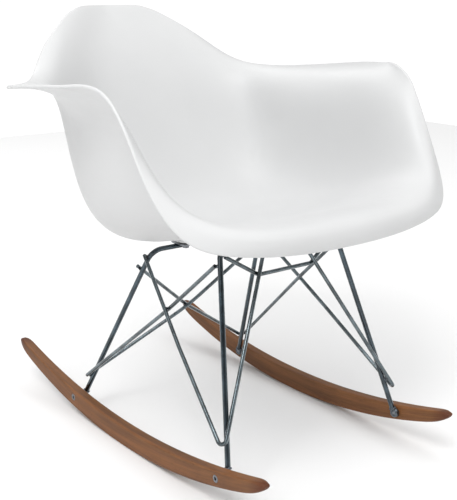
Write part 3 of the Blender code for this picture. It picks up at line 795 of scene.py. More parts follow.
# ---------------------------------------------------------------- seat shell
@dataclass
class SeatShell:
    """Seat, back and arms in one moulded skin, with four bosses underneath.

    The skin's middle surface is a cubic B-spline over the ribs. Each rib runs from the centre
    line out to the rim on the left, in millimetres, and the right side mirrors it.
    """

    thickness: float = 5.0 * MM
    quads: tuple[int, int] = (132, 216)
    corner_quads: int = 22
    rim_steps: int = 8
    arm_corner: tuple[float, float] = (0.15, 0.04)
    back_corner: tuple[float, float] = (0.045, 0.12)
    boss_radius: float = 15.0 * MM
    boss_fillet: float = 5.0 * MM
    ribs: dict[str, tuple[tuple[float, float, float], ...]] = field(default_factory=lambda: {
        "lip_edge": ((0, -300, 355), (90, -295, 355), (185, -285, 365), (250, -250, 380),
                     (270, -190, 465), (270, -150, 545), (285, -110, 580)),
        "lip_nose": ((0, -305, 380), (90, -305, 380), (180, -295, 385), (240, -240, 415),
                     (260, -180, 485), (265, -140, 545), (285, -100, 575)),
        "lip_crest": ((0, -275, 395), (90, -275, 395), (175, -265, 400), (230, -215, 420),
                      (245, -155, 485), (255, -110, 555), (295, -75, 565)),
        "seat_front": ((0, -180, 370), (85, -180, 370), (170, -175, 375), (225, -150, 400),
                       (240, -100, 475), (245, -60, 560), (310, -30, 565)),
        "seat_mid": ((0, -85, 335), (90, -85, 335), (170, -80, 340), (225, -60, 370),
                     (240, -30, 465), (240, 0, 560), (325, 25, 560)),
        "seat_rear": ((0, 15, 310), (85, 15, 310), (165, 15, 315), (220, 20, 355),
                      (230, 35, 455), (220, 55, 560), (320, 75, 555)),
        "back_root": ((0, 115, 310), (70, 115, 310), (135, 110, 320), (190, 100, 370),
                      (210, 95, 455), (200, 105, 550), (265, 125, 550)),
        "back_low": ((0, 185, 395), (60, 185, 395), (115, 180, 405), (165, 160, 435),
                     (190, 150, 495), (200, 160, 545), (225, 175, 550)),
        "back_mid": ((0, 225, 500), (45, 225, 500), (90, 220, 500), (130, 205, 510),
                     (160, 195, 530), (180, 205, 560), (195, 220, 560)),
        "back_high": ((0, 275, 600), (35, 275, 600), (65, 270, 600), (95, 260, 595),
                      (125, 250, 595), (150, 245, 595), (165, 250, 590)),
        "back_edge": ((0, 325, 655), (20, 320, 655), (40, 315, 655), (60, 310, 655),
                      (85, 300, 645), (105, 295, 640), (120, 285, 630))})

    @staticmethod
    def weights(count: int, places: np.ndarray) -> np.ndarray:
        """The weights of a clamped, uniform cubic B-spline's control points.

        Args:
            count: How many control points there are.
            places: Places along the spline, from 0 to 1.

        Returns:
            The weights, on one more axis than the places have.
        """
        knots = [0.0] * 3 + [k / (count - 3) for k in range(count - 2)] + [1.0] * 3
        places = np.minimum(places, 1 - 1e-9)
        found = [((knots[i] <= places) & (places < knots[i + 1])).astype(float)
                 for i in range(len(knots) - 1)]
        for degree in range(1, 4):
            for i in range(len(found) - 1):
                left = knots[i + degree] - knots[i]
                right = knots[i + degree + 1] - knots[i + 1]
                rise = (places - knots[i]) / left * found[i] if left else 0.0
                fall = (knots[i + degree + 1] - places) / right * found[i + 1] if right else 0.0
                found[i] = rise + fall
            found.pop()
        return np.stack(found, axis=-1)

    def surface(self, along: np.ndarray, across: np.ndarray) -> np.ndarray:
        """Points of the middle surface.

        Args:
            along: Places from the lip, 0, to the back's edge, 1.
            across: Places from the right rim, 0, to the left rim, 1.

        Returns:
            The points, in metres.
        """
        half = np.array(list(self.ribs.values()), float) * MM
        cage = np.concatenate([half[:, :0:-1] * (-1, 1, 1), half], axis=1)
        return np.einsum("...s,...t,stc->...c", self.weights(cage.shape[0], along),
                         self.weights(cage.shape[1], across), cage)

    def normals(self, along: np.ndarray, across: np.ndarray) -> np.ndarray:
        """Unit normals of the middle surface that point up and forward, at the sitter."""
        step = 1e-4
        down = (self.surface(np.clip(along + step, 0, 1), across)
                - self.surface(np.clip(along - step, 0, 1), across))
        sideways = (self.surface(along, np.clip(across + step, 0, 1))
                    - self.surface(along, np.clip(across - step, 0, 1)))
        normal = np.cross(sideways, down)
        return normal / np.linalg.norm(normal, axis=-1, keepdims=True)

    def places(self) -> tuple[np.ndarray, np.ndarray]:
        """The grid's places. Its outline is a rectangle with rounded corners.

        Returns:
            The places along the surface and those across it.
        """
        def cut(across: np.ndarray, corner: tuple[float, float]) -> np.ndarray:
            inside = np.clip(1 - np.minimum(across, 1 - across) / corner[1], 0, 1)
            return corner[0] * (1 - np.sqrt(1 - inside ** 2))

        widest = max(self.arm_corner[1], self.back_corner[1])
        bend = widest * (1 - np.cos(np.linspace(0, math.pi / 2, self.corner_quads + 1)))
        rest = np.linspace(widest, 0.5, self.quads[1] // 2 - self.corner_quads + 1)
        half = np.concatenate([bend, rest[1:]])
        across = np.concatenate([half, 1 - half[-2::-1]])
        low, high = cut(across, self.arm_corner), 1 - cut(across, self.back_corner)
        share = np.linspace(0, 1, self.quads[0] + 1)[:, None]
        along = low + share * (high - low)
        return along, np.broadcast_to(across, along.shape)

    def skin(self) -> bpy.types.Object:
        """The skin itself, with its rim rounded over its whole thickness."""
        places = self.places()
        grid, normals = self.surface(*places), self.normals(*places)
        rows, columns = grid.shape[:2]
        index = np.arange(rows * columns).reshape(rows, columns)
        half = self.thickness / 2
        blocks = [(grid + half * normals).reshape(-1, 3), (grid - half * normals).reshape(-1, 3)]
        quads = np.stack([index[:-1, :-1], index[:-1, 1:], index[1:, 1:], index[1:, :-1]],
                         axis=2).reshape(-1, 4)
        faces = quads.tolist() + (quads[:, ::-1] + rows * columns).tolist()

        loop = ([(0, j) for j in range(columns)] + [(i, columns - 1) for i in range(1, rows)]
                + [(rows - 1, j) for j in range(columns - 2, -1, -1)]
                + [(i, 0) for i in range(rows - 2, 0, -1)])
        edge = np.array([grid[c] for c in loop])
        normal = np.array([normals[c] for c in loop])
        outward = np.cross(np.roll(edge, -1, axis=0) - np.roll(edge, 1, axis=0), normal)
        outward /= np.linalg.norm(outward, axis=1, keepdims=True)
        inner = np.array([grid[min(max(i, 1), rows - 2), min(max(j, 1), columns - 2)]
                          for i, j in loop])
        if ((edge - inner) * outward).sum() < 0:
            outward = -outward
        strips = [[int(index[c]) for c in loop]]
        count = 2 * rows * columns
        for step in range(1, self.rim_steps):
            angle = math.pi / 2 - math.pi * step / self.rim_steps
            blocks.append(edge + half * (math.cos(angle) * outward + math.sin(angle) * normal))
            strips.append(list(range(count, count + len(loop))))
            count += len(loop)
        strips.append([int(index[c]) + rows * columns for c in loop])
        for top, bottom in zip(strips, strips[1:]):
            for k in range(len(loop)):
                n = (k + 1) % len(loop)
                faces.append([top[k], bottom[k], bottom[n], top[n]])
        mesh = new_mesh("shell_skin", np.concatenate(blocks), faces)
        turn_outward(mesh, math.radians(60))
        return new_object("shell_skin", mesh, FINISHES.shell)

    def underside_height(self, fine: np.ndarray, x: float, y: float) -> float:
        """The height of the skin's middle surface over a point of the base."""
        seat = fine[fine[:, 2] < 430 * MM]
        gap = (seat[:, 0] - x) ** 2 + (seat[:, 1] - y) ** 2
        near = np.argsort(gap)[:8]
        weight = 1 / (gap[near] + 1e-7)
        return float((seat[near, 2] * weight).sum() / weight.sum())

    def bosses(self, mounts: Sequence["Mount"], sides: int = 64) -> bpy.types.Object:
        """The four bosses, which flare into the skin and are bored for their inserts.

        Args:
            mounts: Where they stand.
            sides: Points round each boss.

        Returns:
            One piece with all four.
        """
        fine = self.surface(*np.meshgrid(np.linspace(0, 1, 161), np.linspace(0, 1, 201),
                                         indexing="ij")).reshape(-1, 3)
        points: list[tuple[float, float, float]] = []
        faces: list[list[int]] = []
        bore = 4.7 * MM
        rings = [(bore, 0.0, 4.5 * MM), (bore, 0.0, 0.4 * MM), (bore + 0.4 * MM, 0.0, 0.0),
                 (self.boss_radius - 0.8 * MM, 0.0, 0.0),
                 (self.boss_radius - 0.25 * MM, 0.0, 0.25 * MM),
                 (self.boss_radius, 0.0, 0.8 * MM)]
        fillet = [(self.boss_radius + self.boss_fillet * (1 - math.cos(a)),
                   1.0, -self.boss_fillet * (1 - math.sin(a)))
                  for a in (math.pi / 2 * k / 8 for k in range(9))]
        for mount in mounts:
            base = len(points)
            for radius, on_skin, height in rings + fillet + [(self.boss_radius, 1.0, 1.5 * MM)]:
                for k in range(sides):
                    angle = 2 * math.pi * k / sides
                    x = mount.x + radius * math.cos(angle)
                    y = mount.y + radius * math.sin(angle)
                    floor = mount.boss_z
                    if on_skin:
                        roof = self.underside_height(fine, x, y) - self.thickness / 2 + 0.4 * MM
                        floor = max(roof, mount.boss_z + 0.9 * MM)
                    points.append((x, y, max(floor + height, mount.boss_z)
                                   if on_skin else floor + height))
            rows = len(rings) + len(fillet) + 1
            for row in range(rows - 1):
                for k in range(sides):
                    a, b = base + row * sides + k, base + row * sides + (k + 1) % sides
                    faces.append([a, b, b + sides, a + sides])
            faces.append([base + k for k in range(sides)][::-1])
            faces.append([base + (rows - 1) * sides + k for k in range(sides)])
        mesh = new_mesh("shell_bosses", points, faces)
        turn_outward(mesh)
        return new_object("shell_bosses", mesh, FINISHES.shell)

    def build(self, mounts: Sequence["Mount"]) -> None:
        """Builds the skin and its bosses.

        Args:
            mounts: The four seat mounts.
        """
        keep_piece(self.skin(), FINISHES.shell, ["seat_shell"])
        keep_piece(self.bosses(mounts), FINISHES.shell)


# ---------------------------------------------------------------- seat mounts
@dataclass(frozen=True)
class Mount:
    """One seat mount: the bolt's place, and the heights of what is stacked on it."""

    name: str
    end: End
    x: float
    y: float
    bar_y: float
    tab_z: float
    spacer_z: float
    boss_z: float


@dataclass
class SeatMounts:
    """Tab, rubber spacer, bolt and washer at each of the four seat mounts."""

    bolt_x: float = 55.0 * MM
    bolt_from_bar: float = 14.0 * MM
    tab_width: float = 24.0 * MM
    tab_length: float = 34.0 * MM
    tab_thickness: float = 2.5 * MM
    spacer_height: float = 2.5 * MM
    rod_radius: float = 4.0 * MM
    gap: float = 0.3 * MM

    def places(self, bars: dict[End, Vector]) -> list[Mount]:
        """Where the four mounts are.

        Args:
            bars: The middle of each top bar.

        Returns:
            The mounts, front before rear and right before left.
        """
        found = []
        for end, bar in bars.items():
            for side in Side:
                tab_z = bar.z + self.rod_radius + self.gap
                spacer_z = tab_z + self.tab_thickness + self.gap
                found.append(Mount(f"{end.word}_{side.word}", end, side.value * self.bolt_x,
                                   bar.y + end.value * self.bolt_from_bar, bar.y, tab_z, spacer_z,
                                   spacer_z + self.spacer_height + self.gap))
        return found

    def tab_mesh(self) -> bpy.types.Mesh:
        """One tab with a bolt hole at the origin, its round end at +X and its edges eased."""
        radius, hole = self.tab_width / 2, 3.3 * MM
        back = self.tab_length - radius
        outline = [(radius * math.cos(a), radius * math.sin(a))
                   for a in (math.pi * (k / 24 - 0.5) for k in range(25))]
        outline += [(-back, radius * t) for t in (1.0, 0.5, 0.0, -0.5, -1.0)]
        count = len(outline)
        inner = []
        for x, y in outline:
            length = math.hypot(x, y)
            inner.append((hole * x / length, hole * y / length))
        shape = bmesh.new()
        rings = []
        for z in (0.0, self.tab_thickness):
            rings.append(([shape.verts.new((x, y, z)) for x, y in outline],
                          [shape.verts.new((x, y, z)) for x, y in inner]))
        for outer_ring, inner_ring in rings:
            for k in range(count):
                n = (k + 1) % count
                shape.faces.new((outer_ring[k], outer_ring[n], inner_ring[n], inner_ring[k]))
        for which in (0, 1):
            for k in range(count):
                n = (k + 1) % count
                shape.faces.new((rings[0][which][k], rings[0][which][n],
                                 rings[1][which][n], rings[1][which][k]))
        bmesh.ops.recalc_face_normals(shape, faces=shape.faces)
        rims = [e for e in shape.edges if e.calc_face_angle(0.0) > math.radians(60)
                and abs(e.verts[0].co.z - e.verts[1].co.z) < 1e-6]
        bmesh.ops.bevel(shape, geom=rims, offset=0.35 * MM, segments=2, profile=0.5,
                        affect="EDGES")
        mesh = bpy.data.meshes.new("tab")
        shape.to_mesh(mesh)
        shape.free()
        turn_outward(mesh)
        return mesh

    def bolt_mesh(self) -> bpy.types.Mesh:
        """One hex bolt with its washer. The washer's upper face is at the origin."""
        rings = [Ring(3.6, -5.2, True), Ring(4.6, -5.2, True), Ring(5.0, -4.9, True),
                 Ring(5.0, -1.2, True), Ring(8.0, -1.2), Ring(8.2, -1.0), Ring(8.2, -0.2),
                 Ring(8.0, 0.0), Ring(3.0, 0.0), Ring(3.0, 12.5), Ring(2.5, 13.3)]
        return turned_mesh("seat_bolt", rings)

    def build(self, tree: GeometryTree, mounts: Sequence[Mount]) -> None:
        """Builds the hardware of all four mounts.

        Args:
            tree: The tree that repeats an item.
            mounts: The four mounts.
        """
        up = Vector((0, 0, 1))
        spots = {m.name: Vector((m.x, m.y, 0)) for m in mounts}
        names = list(spots)

        tab = self.tab_mesh()
        item = new_object("tab_item", tab)
        turns = [Vector((0, 0, math.radians(90 * m.end.value))) for m in mounts]
        points = [spots[m.name] + up * m.tab_z for m in mounts]
        tabs = tree.run("mount_tabs", guide_points("tab_points", points, {"turn": turns}),
                        {"Item": item, "Finish": FINISHES.fittings.material()})
        bpy.data.objects.remove(item)
        keep_piece(tabs, FINISHES.fittings, [f"mount_tab_{n}" for n in names])

        spacer = turned_mesh("spacer", [Ring(3.3, 0.2), Ring(3.5, 0.0), Ring(10.4, 0.0),
                                        Ring(10.8, 0.2), Ring(11.0, 0.7), Ring(11.0, 1.8),
                                        Ring(10.8, 2.3), Ring(10.4, 2.5), Ring(3.5, 2.5),
                                        Ring(3.3, 2.3)], hollow=True)
        keep_piece(repeated_piece(tree, "rubber_spacers", spacer, FINISHES.spacers,
                                  [(spots[m.name] + up * m.spacer_z, up) for m in mounts]),
                   FINISHES.spacers, [f"spacer_{n}" for n in names])
        keep_piece(repeated_piece(tree, "seat_bolts", self.bolt_mesh(), FINISHES.fittings,
                                  [(spots[m.name] + up * (m.tab_z - self.gap / 2), up)
                                   for m in mounts]),
                   FINISHES.fittings, [f"seat_bolt_{n}" for n in names])
        for name in names:
            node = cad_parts[f"insert_{name}"]
            node.material_slots[0].material = FINISHES.inserts.material()
            log.info("%s: kept, %s", node.name, FINISHES.inserts.name)


# ---------------------------------------------------------------- rockers
@dataclass
class Rockers:
    """Two bent wooden rockers, and the lugs and bolts that hold the legs to them."""

    under_radius: float = 985.0 * MM
    top_radius: float = 1300.0 * MM
    reach: float = 345.0 * MM
    under_nose: float = 50.0 * MM
    top_nose: float = 24.0 * MM
    bluntness: float = 2.5
    height: float = 33.0 * MM
    width: float = 17.5 * MM
    outer_x: float = 188.5 * MM
    rounding: float = 3.0 * MM
    nose_rounding: float = 8.0 * MM        # added to the rounding as the nose narrows
    rounding_limit: float = 0.92           # as a share of the section's half sizes
    tip_place: float = 0.6                 # the tip's height, from the underside to the top
    nose_narrowing: float = 0.72           # how far the width's square closes at the tip
    side_nose: float = 1.7                 # the narrowing's length, in rocker widths
    nose_sweep: float = 88.5               # degrees of the nose's arc that have sections
    lug_radius: float = 7.2 * MM
    lug_length: float = 6.5 * MM
    head_radius: float = 5.6 * MM
    head_height: float = 3.2 * MM
    gap: float = 0.3 * MM
    feet: dict[End, tuple[float, float]] = field(default_factory=lambda: {
        End.FRONT: (-241.0 * MM, 40.6 * MM), End.REAR: (153.5 * MM, 24.6 * MM)})

    def foot(self, end: End) -> Vector:
        """The middle of a left foot bolt, on the rocker's inner face."""
        return Vector((self.outer_x - self.width, *self.feet[end]))

    def profile(self, y: float) -> tuple[float, float, float]:
        """The side view at one distance from the middle.

        Args:
            y: The distance, from 0 to the reach.

        Returns:
            The heights of the underside and the top above the floor, and the share of the
            width. All three close in at the nose.
        """
        def rest(nose: float) -> float:
            share = max(0.0, (y - self.reach + nose) / nose)
            return max(0.0, 1 - share ** self.bluntness) ** (1 / self.bluntness)

        bottom = self.under_radius - math.sqrt(self.under_radius ** 2 - y ** 2)
        top = self.height + self.top_radius - math.sqrt(self.top_radius ** 2 - y ** 2)
        tip = bottom + self.tip_place * (top - bottom)
        return (tip - (tip - bottom) * rest(self.under_nose),
                tip + (top - tip) * rest(self.top_nose),
                math.sqrt(1 - self.nose_narrowing * (1 - rest(self.width * self.side_nose) ** 2)))

    def section(self, place: float, bottom: float, top: float, share: float,
                side: Side) -> list[tuple[float, float, float]]:
        """One upright section: a rectangle with rounded corners.

        Args:
            place: Its Y in the frame.
            bottom: Its underside's height above the floor.
            top: Its top's height above the floor.
            share: Its share of the full width.
            side: The rocker's side.

        Returns:
            Its points, whose order is the same in all sections.
        """
        wide, high = self.width / 2 * share, (top - bottom) / 2
        round_by = min(self.rounding + (1 - share) * self.nose_rounding,
                       self.rounding_limit * wide, self.rounding_limit * high)
        middle = side.value * (self.outer_x - self.width / 2)
        corners = []
        for quarter, (sx, sz) in enumerate(((1, 1), (-1, 1), (-1, -1), (1, -1))):
            corners.append([(sx * (wide - round_by) + round_by * math.cos(angle),
                             sz * (high - round_by) + round_by * math.sin(angle))
                            for angle in (math.pi / 2 * (quarter + k / 6) for k in range(7))])
        points = []
        for corner, following in zip(corners, corners[1:] + corners[:1]):
            points += corner
            (x0, z0), (x1, z1) = corner[-1], following[0]
            points += [(x0 + (x1 - x0) * k / 4, z0 + (z1 - z0) * k / 4) for k in range(1, 4)]
        return [(middle + x, place, (top + bottom) / 2 + z) for x, z in points]

    def blank(self, side: Side, steps: int = 90, nose_steps: int = 28) -> bpy.types.Mesh:
        """One rocker without its holes.

        Args:
            side: Its side.
            steps: Sections from the middle to the nose.
            nose_steps: Sections in the nose.
        """
        start = self.reach - self.under_nose
        places = [start * k / steps for k in range(steps)]
        places += [start + self.under_nose * math.sin(math.radians(self.nose_sweep) * k / nose_steps)
                   for k in range(nose_steps + 1)]
        signed = [-y for y in places[:0:-1]] + places
        sections = [self.section(y, *self.profile(abs(y)), side) for y in signed]
        count = len(sections[0])
        points = np.array(sections).reshape(-1, 3) - np.array(DATUM)
        faces = [list(range(count)), [len(points) - count + k for k in range(count)]]
        for row in range(len(sections) - 1):
            for k in range(count):
                a, b = row * count + k, row * count + (k + 1) % count
                faces.append([a, b, b + count, a + count])
        mesh = new_mesh(f"rocker_blank_{side.word}", points, faces)
        turn_outward(mesh)
        return mesh

    def cutter(self, side: Side) -> bpy.types.Object:
        """The shapes of both counterbored bolt holes, with eased mouths."""
        depth, bore = self.head_height + self.gap, self.head_radius + self.gap
        low = -(self.width + 2 * MM)
        rings = [Ring(3.3, low / MM), Ring(3.3, -depth / MM), Ring(bore / MM, -depth / MM),
                 Ring(bore / MM, -0.35), Ring(bore / MM + 0.35, 0.0),
                 Ring(bore / MM + 0.35, 2.0)]
        shape = bmesh.new()
        for end in End:
            hole = turned_mesh("hole", rings)
            spot = side.mirror(self.foot(end)) + Vector((side.value * self.width, 0, 0))
            axis = Vector((side.value, 0, 0))
            hole.transform(Matrix.Translation(spot) @ axis.to_track_quat("Z", "Y")
                           .to_matrix().to_4x4())
            shape.from_mesh(hole)
            bpy.data.meshes.remove(hole)
        mesh = bpy.data.meshes.new("rocker_holes")
        shape.to_mesh(mesh)
        shape.free()
        return new_object("rocker_holes", mesh)

    def wooden_rocker(self, side: Side) -> bpy.types.Object:
        """One rocker, bored for its bolts, with its grain and rubbed edges on its points."""
        blank = new_object("rocker_blank", self.blank(side))
        cutter = self.cutter(side)
        cut = blank.modifiers.new("holes", "BOOLEAN")
        cut.operation, cut.solver, cut.object = "DIFFERENCE", "EXACT", cutter
        graph = bpy.context.evaluated_depsgraph_get()
        mesh = bpy.data.meshes.new_from_object(blank.evaluated_get(graph), depsgraph=graph)
        for used in (blank, cutter):
            data = used.data
            bpy.data.objects.remove(used)
            bpy.data.meshes.remove(data)
        mesh.name = f"wooden_rocker_{side.word}"
        mesh.materials.clear()
        turn_outward(mesh, math.radians(40))
        self.mark_grain(mesh, side)
        return new_object(mesh.name, mesh, FINISHES.rockers)

    def mark_grain(self, mesh: bpy.types.Mesh, side: Side) -> None:
        """Stores the grain's directions and the rubbed edges on a rocker's points.

        Args:
            mesh: The rocker.
            side: Its side, so that the two rockers' figures differ.
        """
        place = np.array([v.co for v in mesh.vertices], float) + np.array(DATUM)
        bend = 2 * self.under_radius * self.top_radius / (self.under_radius + self.top_radius)
        bottom, top, share = np.array([self.profile(min(abs(y), self.reach))
                                       for y in place[:, 1]]).T
        up = place[:, 2] - (bend - np.sqrt(bend ** 2 - place[:, 1] ** 2))
        across = np.abs(place[:, 0]) - (self.outer_x - self.width)
        offset = 0.37 if side is Side.LEFT else 0.0
        grain = np.stack([bend * np.arcsin(place[:, 1] / bend) + 3 * offset, up + offset,
                          across + 2 * offset], axis=1)
        to_face = self.width / 2 * share - np.abs(across - self.width / 2)
        to_edge = np.minimum(place[:, 2] - bottom, top - place[:, 2])
        corner = np.clip(1 - (to_face + to_edge) / (1.1 * self.rounding), 0, 1)
        under = np.clip(1 - (place[:, 2] - bottom) / (0.5 * MM), 0, 1) * np.clip(
            1 - np.abs(place[:, 1]) / (220 * MM), 0, 1)
        nose = np.clip((np.abs(place[:, 1]) - self.reach + 30 * MM) / (26 * MM), 0, 1)
        add_attributes(mesh, {"grain": grain, "rub": np.maximum(corner * 0.5, under * 0.8),
                              "nose": nose})

    def bolt_mesh(self) -> bpy.types.Mesh:
        """One socket bolt. The rocker's inner face is at the origin and its head is at +Z."""
        face, base = self.width / MM, (self.width - self.head_height) / MM
        head = self.head_radius / MM
        rings = [Ring(2.4, -6.5), Ring(3.0, -5.9), Ring(3.0, base), Ring(head, base),
                 Ring(head, face - 0.45), Ring(head - 0.12, face - 0.2),
                 Ring(head - 0.45, face - 0.05), Ring(3.3, face - 0.05),
                 Ring(2.5, face - 0.4, True), Ring(2.5, face - 2.6, True),
                 Ring(1.5, face - 3.1)]
        return turned_mesh("socket_bolt", rings)

    def lug_mesh(self) -> bpy.types.Mesh:
        """One threaded lug, which stands along +Z on the rocker's inner face."""
        radius, low, high = self.lug_radius / MM, self.gap / MM, (self.gap + self.lug_length) / MM
        rings = [Ring(3.3, low), Ring(radius - 0.5, low), Ring(radius, low + 0.5),
                 Ring(radius, high - 0.9), Ring(radius - 0.25, high - 0.35),
                 Ring(radius - 0.8, high), Ring(3.8, high), Ring(3.3, high - 0.5)]
        return turned_mesh("lug", rings, hollow=True)

    def build(self, tree: GeometryTree) -> None:
        """Builds both rockers with their bolts and lugs.

        Args:
            tree: The tree that repeats an item.
        """
        for side in Side:
            keep_piece(self.wooden_rocker(side), FINISHES.rockers, [f"rocker_{side.word}"])
        spots = [(end, side, side.mirror(self.foot(end))) for end in End for side in Side]
        bolts = repeated_piece(tree, "rocker_bolts", self.bolt_mesh(), FINISHES.fittings,
                               [(spot, Vector((side.value, 0, 0))) for _, side, spot in spots])
        keep_piece(bolts, FINISHES.fittings,
                   [f"rocker_bolt_{end.word}_{side.word}" for end, side, _ in spots])
        lugs = repeated_piece(tree, "foot_lugs", self.lug_mesh(), FINISHES.welds,
                              [(spot, Vector((-side.value, 0, 0))) for _, side, spot in spots])
        keep_piece(lugs, FINISHES.welds,
                   [f"foot_lug_{end.word}_{side.word}" for end, side, _ in spots])


# ---------------------------------------------------------------- wire base
@dataclass(frozen=True)
class Bead:
    """One bead of weld: its middle, the way it runs, the way it faces, and its half sizes."""

    place: Vector
    along: Vector
    facing: Vector
    size: Color

    @property
    def turn(self) -> Vector:
        """The Euler angles that carry X to along and Z to facing."""
        x = self.along.normalized()
        z = (self.facing - x * self.facing.dot(x)).normalized()
        y = z.cross(x)
        return Vector(Matrix((x, y, z)).transposed().to_euler())


@dataclass
class WireBase:
    """The two bent leg frames, the wire braces between them, and their welds."""

    rod_radius: float = 4.0 * MM
    wire_radius: float = 3.0 * MM
    front_bar: Corner = Corner(110.0, -148.9, 333.0, 16.0)
    rear_bar: Corner = Corner(109.5, 25.0, 294.5, 22.0)
    front_brace: tuple[Corner, ...] = (
        Corner(118.2, 33.6, 286.6), Corner(147.8, -100, 181, 400), Corner(173.5, -240.5, 72, 7),
        Corner(31.5, -156.1, 334))
    rear_brace: tuple[Corner, ...] = (
        Corner(118.6, -149.6, 311), Corner(129.2, -50, 224, 400), Corner(170.5, 149, 56, 7),
        Corner(0, 87, 168, 400), Corner(-122.5, 46.8, 266.6))
    rear_brace_bow: float = 3.8 * MM
    cross_wire: tuple[Corner, ...] = (Corner(103.2, -152.5, 322), Corner(51, -163.8, 289.5, 12))
    lines: dict[str, list[Vector]] = field(default_factory=dict)

    def bars(self) -> dict[End, Vector]:
        """The middle of each frame's top bar."""
        return {End.FRONT: Vector((0, self.front_bar.y, self.front_bar.z)) * MM,
                End.REAR: Vector((0, self.rear_bar.y, self.rear_bar.z)) * MM}

    def draw_lines(self, rockers: Rockers) -> None:
        """Draws every rod's centre line.

        Args:
            rockers: The rockers that the legs stand on.
        """
        for end, bar in ((End.FRONT, self.front_bar), (End.REAR, self.rear_bar)):
            middle = rockers.foot(end) - Vector((rockers.gap + rockers.lug_length * 0.75, 0, 0))
            upward = (bar.point - middle).normalized()
            foot = middle + upward * (rockers.lug_radius - 1.0 * MM)
            bend = bar.bend * MM
            self.lines[f"{end.word}_leg_frame"] = bent_line(
                [(Side.RIGHT.mirror(foot), 0.0), (Side.RIGHT.mirror(bar.point), bend),
                 (bar.point, bend), (foot, 0.0)])
        for side in Side:
            self.lines[f"brace_front_{side.word}"] = bent_line(
                [(side.mirror(c.point), c.bend * MM) for c in self.front_brace])
            bow = Vector((0, self.rear_brace_bow * side.value, 0))
            self.lines[f"brace_rear_{side.word}"] = bent_line(
                [(side.mirror(c.point) + (bow if c.x == 0 else Vector()), c.bend * MM)
                 for c in self.rear_brace])
        ends = [(c.point, c.bend * MM) for c in self.cross_wire]
        self.lines["front_cross_wire"] = bent_line(
            [(Side.RIGHT.mirror(p), bend) for p, bend in ends] + ends[::-1])

    def joint_beads(self, first: str, second: str, near: Vector) -> list[Bead]:
        """Beads in both grooves where one rod lies against another.

        Args:
            first: The thinner rod's line.
            second: The other rod's line.
            near: A point close to the joint.

        Returns:
            The beads.
        """
        a, b, way = contact(self.lines[first], self.lines[second], near)
        outward = (a - b).normalized()
        groove = way.cross(outward).normalized()
        radius = self.wire_radius if second.startswith(("brace", "front_cross")) \
            else self.rod_radius
        touch = b + outward * radius
        return [Bead(touch + groove * sign * self.wire_radius * 0.62, way, outward,
                     (length * MM, 1.3 * MM, 1.25 * MM))
                for sign, length in ((1, 4.4), (-1, 3.9))]

    def beads(self, rockers: Rockers, mounts: Sequence[Mount]) -> dict[str, list[Bead]]:
        """Every bead of weld, by the piece that it belongs to."""
        wires: list[Bead] = []
        for side in Side:
            front, rear = f"brace_front_{side.word}", f"brace_rear_{side.word}"
            other = f"brace_rear_{(Side.LEFT if side is Side.RIGHT else Side.RIGHT).word}"
            at = [side.mirror(c.point) for c in self.front_brace]
            wires += self.joint_beads(front, "rear_leg_frame", at[0])
            wires += self.joint_beads(front, "front_leg_frame", at[2])
            wires += self.joint_beads(front, "front_leg_frame", at[3])
            at = [side.mirror(c.point) for c in self.rear_brace]
            wires += self.joint_beads(rear, "front_leg_frame", at[0])
            wires += self.joint_beads(rear, "rear_leg_frame", at[2])
            wires += self.joint_beads(rear, "rear_leg_frame", at[4])
            wires += self.joint_beads(rear, front, side.mirror(Vector((0.133, -0.03, 0.236))))
            if side is Side.LEFT:
                wires += self.joint_beads(rear, other, Vector((0, 0.087, 0.168)))
            wires += self.joint_beads("front_cross_wire", "front_leg_frame",
                                      side.mirror(self.cross_wire[0].point))
        feet: list[Bead] = []
        for end in End:
            line = self.lines[f"{end.word}_leg_frame"]
            for foot, above in ((line[0], line[1]), (line[-1], line[-2])):
                upward = (above - foot).normalized()
                across = upward.cross(Vector((1, 0, 0))).normalized()
                place = foot + upward * 1.6 * MM
                for k in range(5):
                    angle = 2 * math.pi * (k + 0.3) / 5
                    out = (across * math.cos(angle)
                           + upward.cross(across) * math.sin(angle)).normalized()
                    feet.append(Bead(place + out * 4.3 * MM, upward.cross(out), out,
                                     (2.9 * MM, 1.7 * MM, 1.3 * MM)))
        tabs: list[Bead] = []
        for mount in mounts:
            for sign in (-1, 1):
                place = Vector((mount.x, mount.bar_y + sign * 3.4 * MM, mount.tab_z - 0.7 * MM))
                tabs.append(Bead(place, Vector((1, 0, 0)), Vector((0, sign, -1)),
                                 (8.5 * MM, 1.2 * MM, 0.9 * MM)))
        return {"brace_welds": wires, "foot_welds": feet, "tab_welds": tabs}

    def build(self, rods: GeometryTree, welds: GeometryTree, rockers: Rockers,
              mounts: Sequence[Mount]) -> None:
        """Builds every rod and bead.

        Args:
            rods: The tree that draws a rod along a path.
            welds: The tree that lays beads on points.
            rockers: The rockers that the legs stand on; not used.
            mounts: The four seat mounts.
        """
        for name, line in self.lines.items():
            thick = name.endswith("leg_frame")
            radius = self.rod_radius if thick else self.wire_radius
            finish = FINISHES.rods if thick else FINISHES.wires
            path, girth = rounded_ends(line, radius)
            guide = new_mesh(f"{name}_path", path, [],
                             [(k, k + 1) for k in range(len(path) - 1)])
            add_attributes(guide, {"girth": girth})
            piece = rods.run(f"{name}_rod", guide,
                             {"Radius": radius, "Sides": 40 if thick else 28,
                              "Finish": finish.material()})
            keep_piece(piece, finish, [name])
        for number, (name, beads) in enumerate(self.beads(rockers, mounts).items()):
            guide = guide_points(f"{name}_points", [b.place for b in beads],
                                 {"turn": [b.turn for b in beads],
                                  "size": [b.size for b in beads]})
            piece = welds.run(name, guide, {"Lumps": 0.7 * MM, "Lump Size": 2.2 * MM,
                                            "Seed": 3.0 + number,
                                            "Finish": FINISHES.welds.material()})
            keep_piece(piece, FINISHES.welds)


